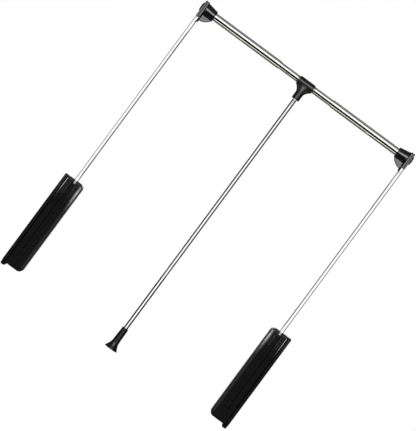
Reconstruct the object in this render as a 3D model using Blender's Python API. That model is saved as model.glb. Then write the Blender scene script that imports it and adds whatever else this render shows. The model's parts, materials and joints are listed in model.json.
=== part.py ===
"""Pull-down wardrobe rail: two wall housings, two swinging arms, a telescopic rail and a pull rod.

Metres, +Z up, -Y to the front. The origin is on the left wall face, on the arms' pivot axis.
Pieces of one side are modelled for the left housing; the right ones are their mirror images.
"""

import math
from functools import partial

import bmesh
import bpy
from mathutils import Matrix
from mathutils import Vector

# Fits and mesh fineness
GAP = 0.0003
SLIDE_GAP = 0.0006
OVERLAP = 0.001
MERGE = 0.000005
FINE_SIDES = 24
PIVOT_SIDES = 16
SMALL_SIDES = 12
SCREW_SIDES = 8
SHARP_ANGLE = math.radians(35.0)

# Main sizes
CABINET_WIDTH = 0.733
ARM_INSET = 0.033
RAIL_HEIGHT = 0.792
SWING_ANGLE = math.radians(100.0)

# Housing: wall plate and cover
HOUSING_WIDTH = 0.060
HOUSING_FRONT = -0.018
HOUSING_BACK = 0.050
HOUSING_ABOVE_BUMPER = 0.025
COVER_BOTTOM = -0.0495
HOUSING_ROUND = 0.0125
ROUND_STEPS = 4
COVER_WALL = 0.0022
PLATE_WALL = 0.003
RIM_DEPTH = 0.0085
RIM_WALL = 0.0022
TAB_DEPTH = 0.0134
TAB_BOTTOM = -0.058
TAB_ROUND = 0.0025
WALL_SCREW_RADIUS = 0.0024
WALL_SCREW_FRONT = -0.006
WALL_SCREW_BACK = 0.020
WALL_SCREW_LOW = -0.030
WALL_SCREW_MIDDLE = 0.120
WALL_SCREW_DROP = 0.015

# Cover screws
COVER_SCREW_Y = 0.038
COVER_SCREW_LOW = -0.035
COVER_SCREW_DROP = 0.028
COVER_SCREW_BOSS = 0.0045
COVER_SCREW_SPLIT = 0.020
COVER_SCREW_SHANK = 0.00175
COVER_SCREW_HEAD = 0.0033
COVER_SCREW_HEAD_DEPTH = 0.0025
COVER_SCREW_SINK = 0.0005
COVER_SCREW_BITE = 0.010

# Pivot
PIVOT_PIN_RADIUS = 0.004
PIVOT_BLIND_WALL = 0.002
PIVOT_BOSS_WALL = 0.0027
BUSH_WALL = 0.0015
BUSH_FLANGE = 0.0012
BUSH_FLANGE_LIP = 0.0012

# Swing lever and crank
LEVER_WIDTH = 0.0115
HUB_WALL = 0.0058
ARM_SUNK = 0.0105
STOP_GAP = 0.001
CRANK_RADIUS = 0.018
CRANK_PIN_RADIUS = 0.003
EAR_WALL = 0.0027

# Crosshead
CHEEK_THICKNESS = 0.0045
CHEEK_FRONT_GAP = 0.0015
PRONG_HEIGHT = 0.004
CHEEK_SLOT_GAP = 0.001
CHEEK_BACK_WALL = 0.004
BRIDGE_EAR_GAP = 0.004
BRIDGE_THICKNESS = 0.006
BRIDGE_BACK_WALL = 0.0005
ROD_SEAT_DEPTH = 0.004

# Damper, spring and their anchor
DAMPER_Y = 0.028
DAMPER_ROD_RADIUS = 0.003
PISTON_RADIUS = 0.005
PISTON_LENGTH = 0.010
PISTON_HEIGHT = 0.088
BARREL_WALL = 0.0027
BARREL_END = 0.004
BARREL_LIFT_GAP = 0.003
BARREL_STUD = 0.008
SPRING_WIRE = 0.00125
SPRING_BARREL_GAP = 0.001
SPRING_TURNS = 12
SPRING_CURL_POINTS = 8
SPRING_END_GAP = 0.0006
ANCHOR_HEIGHT = 0.150
ANCHOR_THICKNESS = 0.003
ANCHOR_FLANGE = 0.027
ANCHOR_MARGIN = 0.0015
ANCHOR_SCREW_SPREAD = 0.008
ANCHOR_SCREW_SHANK = 0.00175
ANCHOR_SCREW_HEAD = 0.0034
ANCHOR_SCREW_HEAD_DEPTH = 0.002
ANCHOR_SCREW_BLIND = 0.0009

# Rest bumper and its post
BUMPER_HEIGHT = 0.196
BUMPER_TALL = 0.012
BUMPER_WIDTH = 0.012
BUMPER_DEPTH = 0.0097
BUMPER_ROUND = 0.0012
BUMPER_STEM = 0.0025
BUMPER_STEM_LENGTH = 0.003
POST_DEPTH = 0.005

# Arm tube and its screws
ARM_RADIUS = 0.0055
ARM_WALL = 0.001
SPIGOT_LENGTH = 0.036
ARM_SCREW_FROM_END = 0.017
ARM_SCREW_SHANK = 0.0016
ARM_SCREW_DEPTH = 0.003
ARM_SCREW_HEAD = 0.003
ARM_SCREW_HEAD_DEPTH = 0.0016

# Telescopic rail
OUTER_TUBE_RADIUS = 0.011
INNER_TUBE_RADIUS = 0.0095
TUBE_WALL = 0.0012
INNER_TUBE_SHOWN = 0.169
INNER_TUBE_LAP = 0.090

# Corner bracket, measured from the arm's axis and from the rail's axis
HEAD_TOP = 0.0217
HEAD_HALF_DEPTH = 0.018
HEAD_ROUND = 0.005
HEAD_FOOT_ROUND = 0.002
HEAD_OUT = 0.0053
HEAD_IN = 0.0087
HEAD_CHAMFER = 0.0015
LEG_DROP = 0.0263
FACE_STEP = 0.0004
FIN_HALF_DEPTH = 0.007
FIN_DROP = 0.0384
COLLAR_REACH = 0.0374
COLLAR_WALL_ROOT = 0.0065
COLLAR_WALL_MOUTH = 0.0040
COLLAR_RISE_ROOT = 0.0021
COLLAR_SINK_MOUTH = 0.0004
COLLAR_LIP = 0.0022
GUSSET_HALF_DEPTH = 0.004
GUSSET_DROP = 0.0324
GUSSET_TOP = 0.0145
GUSSET_STEPS = 6
GUSSET_FULLNESS = 1.55
TUBE_STOP_WALL = 0.0003
CAP_RADIUS = 0.0145
CAP_FLAT_RADIUS = 0.0095
CAP_PROUD = 0.0036
CAP_RAISE = 0.002
CAP_STEM_RADIUS = 0.004
CAP_STEM_LENGTH = 0.004
CLAMP_SCREW_RADIUS = 0.002
CLAMP_SCREW_PLACE = 0.024

# Tee on the rail
TEE_BUSH_HALF = 0.0235
TEE_BUSH_WALL = 0.0006
TEE_SLEEVE_HALF = 0.02275
TEE_SLEEVE_WALL = 0.0013
TEE_FLARE_HALF = 0.0265
TEE_FLARE_TOP = 0.0095
TEE_FLARE_DEPTH = 0.0115
TEE_FLARE_STEPS = 5
TEE_FLARE_CURVE = 2.0
TEE_NECK_TOP = 0.032
TEE_NECK_WALL = 0.0047
TEE_BOTTOM = 0.0485
TEE_SOCKET_TOP = 0.016
TEE_SCREW_RADIUS = 0.002
TEE_SCREW_PLACE = 0.039

# Pull rod and grip
HANDLE_ROD_RADIUS = 0.006
GRIP_TOP = 0.793
GRIP_LENGTH = 0.0665
GRIP_TOP_RADIUS = 0.0086
GRIP_WAIST_RADIUS = 0.0099
GRIP_WAIST_DROP = 0.042
GRIP_END_RADIUS = 0.0183
GRIP_END_EDGE = 0.002
GRIP_FLARE_STEPS = 5
GRIP_FLARE_CURVE = 1.7
GRIP_SOCKET = 0.030

# Places worked out from the sizes above
SIDES = ("left", "right")
HOUSING_TOP = BUMPER_HEIGHT + BUMPER_TALL + HOUSING_ABOVE_BUMPER
WALL_SCREW_PLACES = (
    (WALL_SCREW_FRONT, WALL_SCREW_LOW),
    (WALL_SCREW_FRONT, WALL_SCREW_MIDDLE),
    (WALL_SCREW_BACK, HOUSING_TOP - WALL_SCREW_DROP),
)
COVER_SCREW_HEIGHTS = (COVER_SCREW_LOW, HOUSING_TOP - COVER_SCREW_DROP)
HUB_LOW = ARM_INSET - LEVER_WIDTH / 2
HUB_HIGH = ARM_INSET + LEVER_WIDTH / 2
LEVER_TOP = HOUSING_TOP - ARM_SUNK
BUSH_RADIUS = PIVOT_PIN_RADIUS + GAP + BUSH_WALL
HUB_RADIUS = BUSH_RADIUS + GAP + HUB_WALL
BUSH_FLANGE_RADIUS = BUSH_RADIUS + BUSH_FLANGE_LIP
PIVOT_BOSS_RADIUS = PIVOT_PIN_RADIUS + GAP + PIVOT_BOSS_WALL
BUSH_ROOM = 2 * GAP + BUSH_FLANGE
COVER_INSIDE = HOUSING_WIDTH - COVER_WALL
COVER_EDGE = RIM_DEPTH + GAP
HALF_SWING = SWING_ANGLE / 2
CRANK_Y = CRANK_RADIUS * math.cos(HALF_SWING)
CRANK_LIFT = 2 * CRANK_RADIUS * math.sin(HALF_SWING)
YOKE_REST = -CRANK_LIFT / 2
EAR_RADIUS = CRANK_PIN_RADIUS + GAP + EAR_WALL
BARREL_BORE = PISTON_RADIUS + GAP
BARREL_RADIUS = BARREL_BORE + BARREL_WALL
SPRING_RADIUS = BARREL_RADIUS + SPRING_BARREL_GAP + SPRING_WIRE
SPRING_OUTSIDE = SPRING_RADIUS + SPRING_WIRE
SPIGOT_RADIUS = ARM_RADIUS - ARM_WALL - GAP
OUTER_TUBE_BORE = INNER_TUBE_RADIUS + GAP
MIDDLE = CABINET_WIDTH / 2
LEG_BOTTOM = RAIL_HEIGHT - LEG_DROP
ARM_BOTTOM = LEVER_TOP + GAP
ARM_TOP = LEG_BOTTOM - GAP
ARM_SCREW_LOW = LEVER_TOP + ARM_SCREW_FROM_END
ARM_SCREW_HIGH = LEG_BOTTOM - ARM_SCREW_FROM_END
POST_FRONT = LEVER_WIDTH / 2 + BUMPER_DEPTH + 2 * GAP
TEE_SLEEVE_BORE = INNER_TUBE_RADIUS + GAP + TEE_BUSH_WALL + GAP
ROD_SOCKET = HANDLE_ROD_RADIUS + GAP
TEE_NECK_RADIUS = ROD_SOCKET + TEE_NECK_WALL
AXIS_TURNS = {
    "X": Matrix.Rotation(math.pi / 2, 4, "Y"),
    "Y": Matrix.Rotation(-math.pi / 2, 4, "X"),
    "Z": Matrix.Identity(4),
}
FINISHES = {
    "chrome": ((0.80, 0.80, 0.79), 0.12, 1.0),
    "black_gloss": ((0.012, 0.012, 0.013), 0.25, 0.0),
    "black_satin": ((0.020, 0.020, 0.021), 0.42, 0.0),
    "cast_black": ((0.022, 0.022, 0.023), 0.45, 0.6),
    "steel": ((0.42, 0.42, 0.43), 0.35, 1.0),
    "dark_nylon": ((0.030, 0.030, 0.031), 0.50, 0.0),
    "rubber": ((0.030, 0.030, 0.030), 0.85, 0.0),
}


def clear_scene():
    """Remove what the scene holds."""
    for item in list(bpy.data.objects):
        bpy.data.objects.remove(item, do_unlink=True)


def finish_material(name):
    """A Principled material with the colour, roughness and metal share of one finish."""
    colour, roughness, metallic = FINISHES[name]
    material = bpy.data.materials.new(name)
    material.use_nodes = True
    shader = material.node_tree.nodes["Principled BSDF"]
    shader.inputs["Base Color"].default_value = (*colour, 1.0)
    shader.inputs["Roughness"].default_value = roughness
    shader.inputs["Metallic"].default_value = metallic
    return material


def shape_from(bm):
    """An object that holds the mesh, linked to the scene."""
    bmesh.ops.remove_doubles(bm, verts=bm.verts[:], dist=MERGE)
    bmesh.ops.recalc_face_normals(bm, faces=bm.faces[:])
    mesh = bpy.data.meshes.new("shape")
    bm.to_mesh(mesh)
    bm.free()
    shape = bpy.data.objects.new("shape", mesh)
    bpy.context.scene.collection.objects.link(shape)
    return shape


def combine(shape, tools, operation):
    """Join the tools to the shape or cut them from it, and keep the result as the shape's mesh."""
    for tool in tools:
        modifier = shape.modifiers.new("combine", "BOOLEAN")
        modifier.operation = operation
        modifier.object = tool
        depsgraph = bpy.context.evaluated_depsgraph_get()
        mesh = bpy.data.meshes.new_from_object(shape.evaluated_get(depsgraph))
        shape.modifiers.clear()
        shape.data = mesh
        bpy.data.objects.remove(tool, do_unlink=True)
        weld(mesh)
    return shape


def weld(mesh):
    """Merge the points that a cut leaves almost in one place."""
    bm = bmesh.new()
    bm.from_mesh(mesh)
    bmesh.ops.remove_doubles(bm, verts=bm.verts[:], dist=MERGE)
    bmesh.ops.dissolve_degenerate(bm, edges=bm.edges[:], dist=MERGE)
    bm.to_mesh(mesh)
    bm.free()


def join(shape, *tools):
    """Unite the tools with the shape."""
    return combine(shape, tools, "UNION")


def cut(shape, *tools):
    """Take the tools away from the shape."""
    return combine(shape, tools, "DIFFERENCE")


def turned(profile, axis, at, sides):
    """Spin (radius, distance) points about an axis; a profile that stays off the axis is closed."""
    bm = bmesh.new()
    verts = [bm.verts.new((radius, 0.0, distance)) for radius, distance in profile]
    edges = [bm.edges.new(pair) for pair in zip(verts, verts[1:])]
    if profile[0][0] > 0.0:
        edges.append(bm.edges.new((verts[-1], verts[0])))
    bmesh.ops.spin(
        bm,
        geom=verts + edges,
        cent=(0.0, 0.0, 0.0),
        axis=(0.0, 0.0, 1.0),
        angle=2 * math.pi,
        steps=sides,
        use_merge=True,
    )
    bmesh.ops.remove_doubles(bm, verts=bm.verts[:], dist=MERGE)
    on_axis = [vert for vert in bm.verts if vert.co.xy.length < MERGE]
    bmesh.ops.dissolve_verts(bm, verts=on_axis)
    bmesh.ops.transform(bm, matrix=Matrix.Translation(at) @ AXIS_TURNS[axis], verts=bm.verts[:])
    return shape_from(bm)


def cylinder(radius, axis, at, length, sides=SMALL_SIDES):
    """A solid round bar that starts at a point and runs along an axis."""
    profile = [(0.0, 0.0), (radius, 0.0), (radius, length), (0.0, length)]
    return turned(profile, axis, at, sides)


def tube(radius, bore, axis, at, length, sides=FINE_SIDES):
    """A round tube that starts at a point and runs along an axis."""
    profile = [(bore, 0.0), (radius, 0.0), (radius, length), (bore, length)]
    return turned(profile, axis, at, sides)


def block(low, high, rounding=0.0, steps=2):
    """A box between two corners, with all its edges rounded if a rounding is given."""
    size = Vector(high) - Vector(low)
    centre = (Vector(high) + Vector(low)) / 2
    bm = bmesh.new()
    bmesh.ops.create_cube(bm, size=1.0)
    bmesh.ops.scale(bm, vec=size, verts=bm.verts[:])
    bmesh.ops.translate(bm, vec=centre, verts=bm.verts[:])
    if rounding > 0.0:
        round_edges(bm, bm.edges[:], rounding, steps)
    return shape_from(bm)


def round_edges(bm, edges, rounding, steps):
    """Bevel edges to an arc."""
    bmesh.ops.bevel(
        bm,
        geom=edges,
        offset=rounding,
        offset_type="OFFSET",
        segments=steps,
        profile=0.5,
        affect="EDGES",
    )


def prism(outline, axis, start, end):
    """An outline of (y, z) points drawn out along X, or of (x, z) points drawn out along Y."""
    bm = bmesh.new()
    if axis == "X":
        verts = [bm.verts.new((start, first, second)) for first, second in outline]
        travel = (end - start, 0.0, 0.0)
    else:
        verts = [bm.verts.new((first, start, second)) for first, second in outline]
        travel = (0.0, end - start, 0.0)
    face = bm.faces.new(verts)
    drawn = bmesh.ops.extrude_face_region(bm, geom=[face], use_keep_orig=True)
    moved = [item for item in drawn["geom"] if isinstance(item, bmesh.types.BMVert)]
    bmesh.ops.translate(bm, vec=travel, verts=moved)
    return shape_from(bm)


def lofted(rings):
    """A skin over rings of points, closed at the first ring and the last."""
    bm = bmesh.new()
    rows = [[bm.verts.new(point) for point in ring] for ring in rings]
    count = len(rows[0])
    for row, following in zip(rows, rows[1:]):
        for index in range(count):
            after = (index + 1) % count
            bm.faces.new((row[index], row[after], following[after], following[index]))
    bm.faces.new(rows[0])
    bm.faces.new(rows[-1])
    return shape_from(bm)


def arc(centre, radii, start, end, steps):
    """Points on an elliptic arc, from the start angle to the end angle."""
    points = []
    for step in range(steps + 1):
        angle = start + (end - start) * step / steps
        points.append((centre[0] + radii[0] * math.cos(angle), centre[1] + radii[1] * math.sin(angle)))
    return points


def round_rectangle(low, high, foot_round, top_round, inset):
    """Outline between two (y, z) corners, drawn in by an inset, with its foot and top corners rounded."""
    corners = (
        (high[0] - top_round, high[1] - top_round, top_round),
        (low[0] + top_round, high[1] - top_round, top_round),
        (low[0] + foot_round, low[1] + foot_round, foot_round),
        (high[0] - foot_round, low[1] + foot_round, foot_round),
    )
    points = []
    for index, (y, z, rounding) in enumerate(corners):
        radius = rounding - inset
        start = index * math.pi / 2
        points += arc((y, z), (radius, radius), start, start + math.pi / 2, ROUND_STEPS)
    return points


def housing_outline(inset):
    """Side outline of a housing as (y, z) points, drawn in by an inset."""
    low = (HOUSING_FRONT, COVER_BOTTOM)
    high = (HOUSING_BACK, HOUSING_TOP)
    return round_rectangle(low, high, HOUSING_ROUND, HOUSING_ROUND, inset)


def plate_tab():
    """The tab under the cover, with the root that ties it to the plate."""
    tab = block(
        (0.0, HOUSING_FRONT + HOUSING_ROUND, TAB_BOTTOM),
        (TAB_DEPTH, HOUSING_BACK - HOUSING_ROUND, COVER_BOTTOM - GAP),
        TAB_ROUND,
    )
    root = block(
        (0.0, HOUSING_FRONT + HOUSING_ROUND + TAB_ROUND, COVER_BOTTOM - 2 * TAB_ROUND),
        (RIM_DEPTH - OVERLAP, HOUSING_BACK - HOUSING_ROUND - TAB_ROUND, COVER_BOTTOM + RIM_WALL / 2),
    )
    return join(tab, root)


def wall_plate():
    """Tray that is screwed to the wardrobe's side."""
    plate = prism(housing_outline(0.0), "X", 0.0, RIM_DEPTH)
    cut(plate, prism(housing_outline(RIM_WALL), "X", PLATE_WALL, RIM_DEPTH + OVERLAP))
    sunk = PLATE_WALL - OVERLAP
    boss_tip = HUB_LOW - BUSH_ROOM - GAP
    pivot_boss = cylinder(PIVOT_BOSS_RADIUS, "X", (sunk, 0.0, 0.0), boss_tip - sunk, PIVOT_SIDES)
    post = block(
        (sunk, POST_FRONT, BUMPER_HEIGHT),
        (ARM_INSET + BUMPER_WIDTH / 2, POST_FRONT + POST_DEPTH, BUMPER_HEIGHT + BUMPER_TALL),
    )
    join(plate, plate_tab(), pivot_boss, post)
    for height in COVER_SCREW_HEIGHTS:
        place = (sunk, COVER_SCREW_Y, height)
        join(plate, cylinder(COVER_SCREW_BOSS, "X", place, COVER_SCREW_SPLIT - sunk))
    cut_plate_holes(plate, boss_tip)
    return plate


def cut_plate_holes(plate, boss_tip):
    """Blind holes for the pin, screws and bumper, and through holes for the wall screws."""
    pin_hole = (PIVOT_BLIND_WALL, 0.0, 0.0)
    pin_depth = boss_tip - PIVOT_BLIND_WALL + OVERLAP
    cut(plate, cylinder(PIVOT_PIN_RADIUS + GAP, "X", pin_hole, pin_depth, PIVOT_SIDES))
    bite_end = COVER_SCREW_SPLIT - COVER_SCREW_BITE - GAP
    for height in COVER_SCREW_HEIGHTS:
        place = (bite_end, COVER_SCREW_Y, height)
        depth = COVER_SCREW_SPLIT - bite_end + OVERLAP
        cut(plate, cylinder(COVER_SCREW_SHANK + GAP, "X", place, depth))
    for y, z in anchor_screw_places():
        place = (ANCHOR_SCREW_BLIND, y, z)
        cut(plate, cylinder(ANCHOR_SCREW_SHANK + GAP, "X", place, PLATE_WALL, SCREW_SIDES))
    for y, z in WALL_SCREW_PLACES:
        cut(plate, cylinder(WALL_SCREW_RADIUS, "X", (-OVERLAP, y, z), PLATE_WALL + 2 * OVERLAP))
    stem_hole = (ARM_INSET, POST_FRONT - OVERLAP, BUMPER_HEIGHT + BUMPER_TALL / 2)
    stem_depth = BUMPER_STEM_LENGTH + GAP + OVERLAP
    cut(plate, cylinder(BUMPER_STEM + GAP, "Y", stem_hole, stem_depth))


def cover_form(inset, wall_side):
    """Solid form of the cover, drawn in by an inset, open-ended towards the wall."""
    low = Vector((wall_side, HOUSING_FRONT + inset, COVER_BOTTOM + inset))
    high = Vector((HOUSING_WIDTH - inset, HOUSING_BACK - inset, HOUSING_TOP - inset))
    bm = bmesh.new()
    bmesh.ops.create_cube(bm, size=1.0)
    bmesh.ops.scale(bm, vec=high - low, verts=bm.verts[:])
    bmesh.ops.translate(bm, vec=(low + high) / 2, verts=bm.verts[:])
    middle = (low.x + high.x) / 2
    kept = [edge for edge in bm.edges if max(vert.co.x for vert in edge.verts) > middle]
    round_edges(bm, kept, HOUSING_ROUND - inset, ROUND_STEPS)
    return shape_from(bm)


def slot_bottom():
    """Lower end of the swing slot: the lever comes to rest just above it when it is down."""
    tilt = SWING_ANGLE - math.pi / 2
    return HOUSING_FRONT * math.tan(tilt) - LEVER_WIDTH / 2 / math.cos(tilt) - STOP_GAP


def cover():
    """Moulded shell over the mechanism, with the swing slot and the inner bosses."""
    shell = cover_form(0.0, COVER_EDGE)
    cut(shell, cover_form(COVER_WALL, COVER_EDGE - OVERLAP))
    boss_start = HUB_HIGH + BUSH_ROOM + GAP
    boss_length = COVER_INSIDE + OVERLAP - boss_start
    join(shell, cylinder(PIVOT_BOSS_RADIUS, "X", (boss_start, 0.0, 0.0), boss_length, PIVOT_SIDES))
    pin_hole = (boss_start - OVERLAP, 0.0, 0.0)
    pin_depth = COVER_INSIDE - boss_start + OVERLAP
    cut(shell, cylinder(PIVOT_PIN_RADIUS + GAP, "X", pin_hole, pin_depth, PIVOT_SIDES))
    half = LEVER_WIDTH / 2 + SLIDE_GAP
    front = HOUSING_FRONT - OVERLAP
    slot = block((ARM_INSET - half, front, slot_bottom()), (ARM_INSET + half, 0.0, HOUSING_TOP + OVERLAP))
    slot_end = (ARM_INSET, 0.0, HOUSING_TOP - COVER_WALL - OVERLAP)
    round_end = cylinder(half, "Z", slot_end, COVER_WALL + 2 * OVERLAP, FINE_SIDES)
    cut(shell, slot, round_end)
    for height in COVER_SCREW_HEIGHTS:
        add_cover_screw_seat(shell, height)
    return shell


def add_cover_screw_seat(shell, height):
    """Boss with a bore for a cover screw, and the sink for its head."""
    start = COVER_SCREW_SPLIT + GAP
    boss_length = COVER_INSIDE + OVERLAP - start
    join(shell, cylinder(COVER_SCREW_BOSS, "X", (start, COVER_SCREW_Y, height), boss_length))
    bore = (start - OVERLAP, COVER_SCREW_Y, height)
    cut(shell, cylinder(COVER_SCREW_SHANK + GAP, "X", bore, HOUSING_WIDTH))
    seat = HOUSING_WIDTH - COVER_SCREW_SINK - COVER_SCREW_HEAD_DEPTH - GAP
    sink = (seat, COVER_SCREW_Y, height)
    cut(shell, cylinder(COVER_SCREW_HEAD + GAP, "X", sink, HOUSING_WIDTH - seat + OVERLAP))


def cover_screw(height):
    """Long screw from the cover into one of the plate's bosses."""
    tip = COVER_SCREW_SPLIT - COVER_SCREW_BITE
    head_top = HOUSING_WIDTH - COVER_SCREW_SINK
    head = head_top - COVER_SCREW_HEAD_DEPTH
    profile = [
        (0.0, tip),
        (COVER_SCREW_SHANK, tip),
        (COVER_SCREW_SHANK, head),
        (COVER_SCREW_HEAD, head),
        (COVER_SCREW_HEAD, head_top),
        (0.0, head_top),
    ]
    return turned(profile, "X", (0.0, COVER_SCREW_Y, height), SCREW_SIDES)


def pivot_pin():
    """Steel pin from the plate's boss to the cover's boss."""
    start = PIVOT_BLIND_WALL + GAP
    return cylinder(PIVOT_PIN_RADIUS, "X", (start, 0.0, 0.0), COVER_INSIDE - GAP - start, PIVOT_SIDES)


def pivot_bush(direction):
    """Flanged bush in one side of the lever's hub: direction -1 is towards the wall, 1 away from it."""
    bore = PIVOT_PIN_RADIUS + GAP
    flange = LEVER_WIDTH / 2 + GAP
    profile = [
        (bore, GAP),
        (BUSH_RADIUS, GAP),
        (BUSH_RADIUS, flange),
        (BUSH_FLANGE_RADIUS, flange),
        (BUSH_FLANGE_RADIUS, flange + BUSH_FLANGE),
        (bore, flange + BUSH_FLANGE),
    ]
    handed = [(radius, direction * distance) for radius, distance in profile]
    return turned(handed, "X", (ARM_INSET, 0.0, 0.0), PIVOT_SIDES)


def crank_ear():
    """Ear that stands out of the hub, backwards and down, and carries the crank pin."""
    bar = block((HUB_LOW, 0.0, -EAR_RADIUS), (HUB_HIGH, CRANK_RADIUS, EAR_RADIUS))
    bar.data.transform(Matrix.Rotation(-HALF_SWING, 4, "X"))
    end = (HUB_LOW, CRANK_Y, YOKE_REST)
    return join(bar, cylinder(EAR_RADIUS, "X", end, LEVER_WIDTH))


def swing_lever():
    """Cast lever: hub on the pivot, bar in the slot, spigot in the arm and crank ear behind."""
    half = LEVER_WIDTH / 2
    lever = cylinder(HUB_RADIUS, "X", (HUB_LOW, 0.0, 0.0), LEVER_WIDTH, FINE_SIDES)
    bar = block((HUB_LOW, -half, 0.0), (HUB_HIGH, half, LEVER_TOP))
    spigot_foot = (ARM_INSET, 0.0, LEVER_TOP - OVERLAP)
    spigot = cylinder(SPIGOT_RADIUS, "Z", spigot_foot, SPIGOT_LENGTH + OVERLAP)
    join(lever, crank_ear(), bar, spigot)
    bore = (HUB_LOW - OVERLAP, 0.0, 0.0)
    ear_bore = (HUB_LOW - OVERLAP, CRANK_Y, YOKE_REST)
    through = LEVER_WIDTH + 2 * OVERLAP
    cut(lever, cylinder(BUSH_RADIUS + GAP, "X", bore, through, PIVOT_SIDES))
    cut(lever, cylinder(CRANK_PIN_RADIUS + GAP, "X", ear_bore, through))
    cut(lever, arm_screw_hole(ARM_SCREW_LOW))
    return lever


def crank_pin():
    """Pin through the crank ear, as long as the crosshead is wide."""
    reach = LEVER_WIDTH / 2 + CHEEK_THICKNESS
    return cylinder(CRANK_PIN_RADIUS, "X", (ARM_INSET - reach, CRANK_Y, YOKE_REST), 2 * reach)


def yoke_slack():
    """How far the crank pin's height departs from a steady lift over the swing."""
    steady = math.sin(HALF_SWING) / HALF_SWING
    turn = math.acos(steady)
    return CRANK_RADIUS * (math.sin(turn) - steady * turn)


def cheek_outline():
    """Side outline of a crosshead cheek as (y, z) points: a fork that is open to the front."""
    slot = CRANK_PIN_RADIUS + yoke_slack() + GAP
    outside = slot + PRONG_HEIGHT
    front = PIVOT_BOSS_RADIUS + CHEEK_FRONT_GAP
    slot_end = CRANK_RADIUS + CRANK_PIN_RADIUS + CHEEK_SLOT_GAP
    back = slot_end + CHEEK_BACK_WALL
    step = DAMPER_Y - SPRING_OUTSIDE
    roof = bridge_bottom() + BRIDGE_THICKNESS / 2
    return [
        (front, YOKE_REST - outside),
        (back, YOKE_REST - outside),
        (back, roof),
        (step, roof),
        (step, YOKE_REST + outside),
        (front, YOKE_REST + outside),
        (front, YOKE_REST + slot),
        (slot_end, YOKE_REST + slot),
        (slot_end, YOKE_REST - slot),
        (front, YOKE_REST - slot),
    ]


def bridge_bottom():
    """Underside of the crosshead's bridge, clear of the crank ear below it."""
    return YOKE_REST + EAR_RADIUS + BRIDGE_EAR_GAP


def bridge_top():
    """Top of the crosshead's bridge at rest, on which the spring stands."""
    return bridge_bottom() + BRIDGE_THICKNESS


def crosshead():
    """Yoke with two forked cheeks and a bridge that carries the spring and the damper rod."""
    outline = cheek_outline()
    inner = HUB_HIGH + GAP
    left = prism(outline, "X", HUB_LOW - GAP - CHEEK_THICKNESS, HUB_LOW - GAP)
    right = prism(outline, "X", inner, inner + CHEEK_THICKNESS)
    reach = SPRING_OUTSIDE + BRIDGE_BACK_WALL
    bridge = block(
        (ARM_INSET - reach, DAMPER_Y - SPRING_OUTSIDE, bridge_bottom()),
        (ARM_INSET + reach, DAMPER_Y + reach, bridge_top()),
    )
    join(bridge, left, right)
    seat = (ARM_INSET, DAMPER_Y, bridge_top() - ROD_SEAT_DEPTH)
    return cut(bridge, cylinder(DAMPER_ROD_RADIUS + GAP, "Z", seat, ROD_SEAT_DEPTH + OVERLAP))


def damper_rod():
    """Damper rod with its piston."""
    foot = bridge_top() - ROD_SEAT_DEPTH + GAP
    profile = [
        (0.0, foot),
        (DAMPER_ROD_RADIUS, foot),
        (DAMPER_ROD_RADIUS, PISTON_HEIGHT),
        (PISTON_RADIUS, PISTON_HEIGHT),
        (PISTON_RADIUS, PISTON_HEIGHT + PISTON_LENGTH),
        (0.0, PISTON_HEIGHT + PISTON_LENGTH),
    ]
    return turned(profile, "Z", (ARM_INSET, DAMPER_Y, 0.0), SMALL_SIDES)


def damper_barrel():
    """Damper cylinder with a gland at its foot and a stud on top."""
    foot = bridge_top() + CRANK_LIFT + BARREL_LIFT_GAP
    top = ANCHOR_HEIGHT - GAP
    gland = DAMPER_ROD_RADIUS + GAP
    stud_top = top + BARREL_STUD
    profile = [
        (0.0, top - BARREL_END),
        (BARREL_BORE, top - BARREL_END),
        (BARREL_BORE, foot + BARREL_END),
        (gland, foot + BARREL_END),
        (gland, foot),
        (BARREL_RADIUS, foot),
        (BARREL_RADIUS, top),
        (DAMPER_ROD_RADIUS, top),
        (DAMPER_ROD_RADIUS, stud_top),
        (0.0, stud_top),
    ]
    return turned(profile, "Z", (ARM_INSET, DAMPER_Y, 0.0), SMALL_SIDES)


def spring_points():
    """Wire centre of the spring: a closed coil at each end and an even pitch between them."""
    low = bridge_top() + GAP + SPRING_WIRE
    high = ANCHOR_HEIGHT - GAP - SPRING_WIRE
    closed = 2 * SPRING_WIRE + SPRING_END_GAP
    open_turns = SPRING_TURNS - 2
    pitch = (high - low - 2 * closed) / open_turns
    points = []
    for step in range(SPRING_TURNS * SPRING_CURL_POINTS + 1):
        turn = step / SPRING_CURL_POINTS
        first = min(turn, 1.0) * closed
        middle = min(max(turn - 1.0, 0.0), open_turns) * pitch
        last = max(turn - 1.0 - open_turns, 0.0) * closed
        angle = 2 * math.pi * turn
        x = ARM_INSET + SPRING_RADIUS * math.cos(angle)
        y = DAMPER_Y + SPRING_RADIUS * math.sin(angle)
        points.append(Vector((x, y, low + first + middle + last)))
    return points


def least_coil_gap(points):
    """Least clear distance between one turn of the wire and the next."""
    near = SPRING_CURL_POINTS // 2
    gaps = []
    for index, point in enumerate(points):
        for other in points[index + near:]:
            gaps.append((point - other).length)
    return min(gaps) - 2 * SPRING_WIRE


def spring():
    """Coil compression spring round the damper, one unbroken wire."""
    points = spring_points()
    print("least gap between spring turns in mm:", round(least_coil_gap(points) * 1000, 3))
    curve = bpy.data.curves.new("spring_wire", "CURVE")
    curve.dimensions = "3D"
    curve.bevel_depth = SPRING_WIRE
    curve.bevel_resolution = 1
    curve.use_fill_caps = True
    line = curve.splines.new("POLY")
    line.points.add(len(points) - 1)
    for item, point in zip(line.points, points):
        item.co = (*point, 1.0)
    wire = bpy.data.objects.new("spring_wire", curve)
    bpy.context.scene.collection.objects.link(wire)
    depsgraph = bpy.context.evaluated_depsgraph_get()
    bm = bmesh.new()
    bm.from_mesh(wire.evaluated_get(depsgraph).to_mesh())
    bpy.data.objects.remove(wire, do_unlink=True)
    return shape_from(bm)


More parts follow.
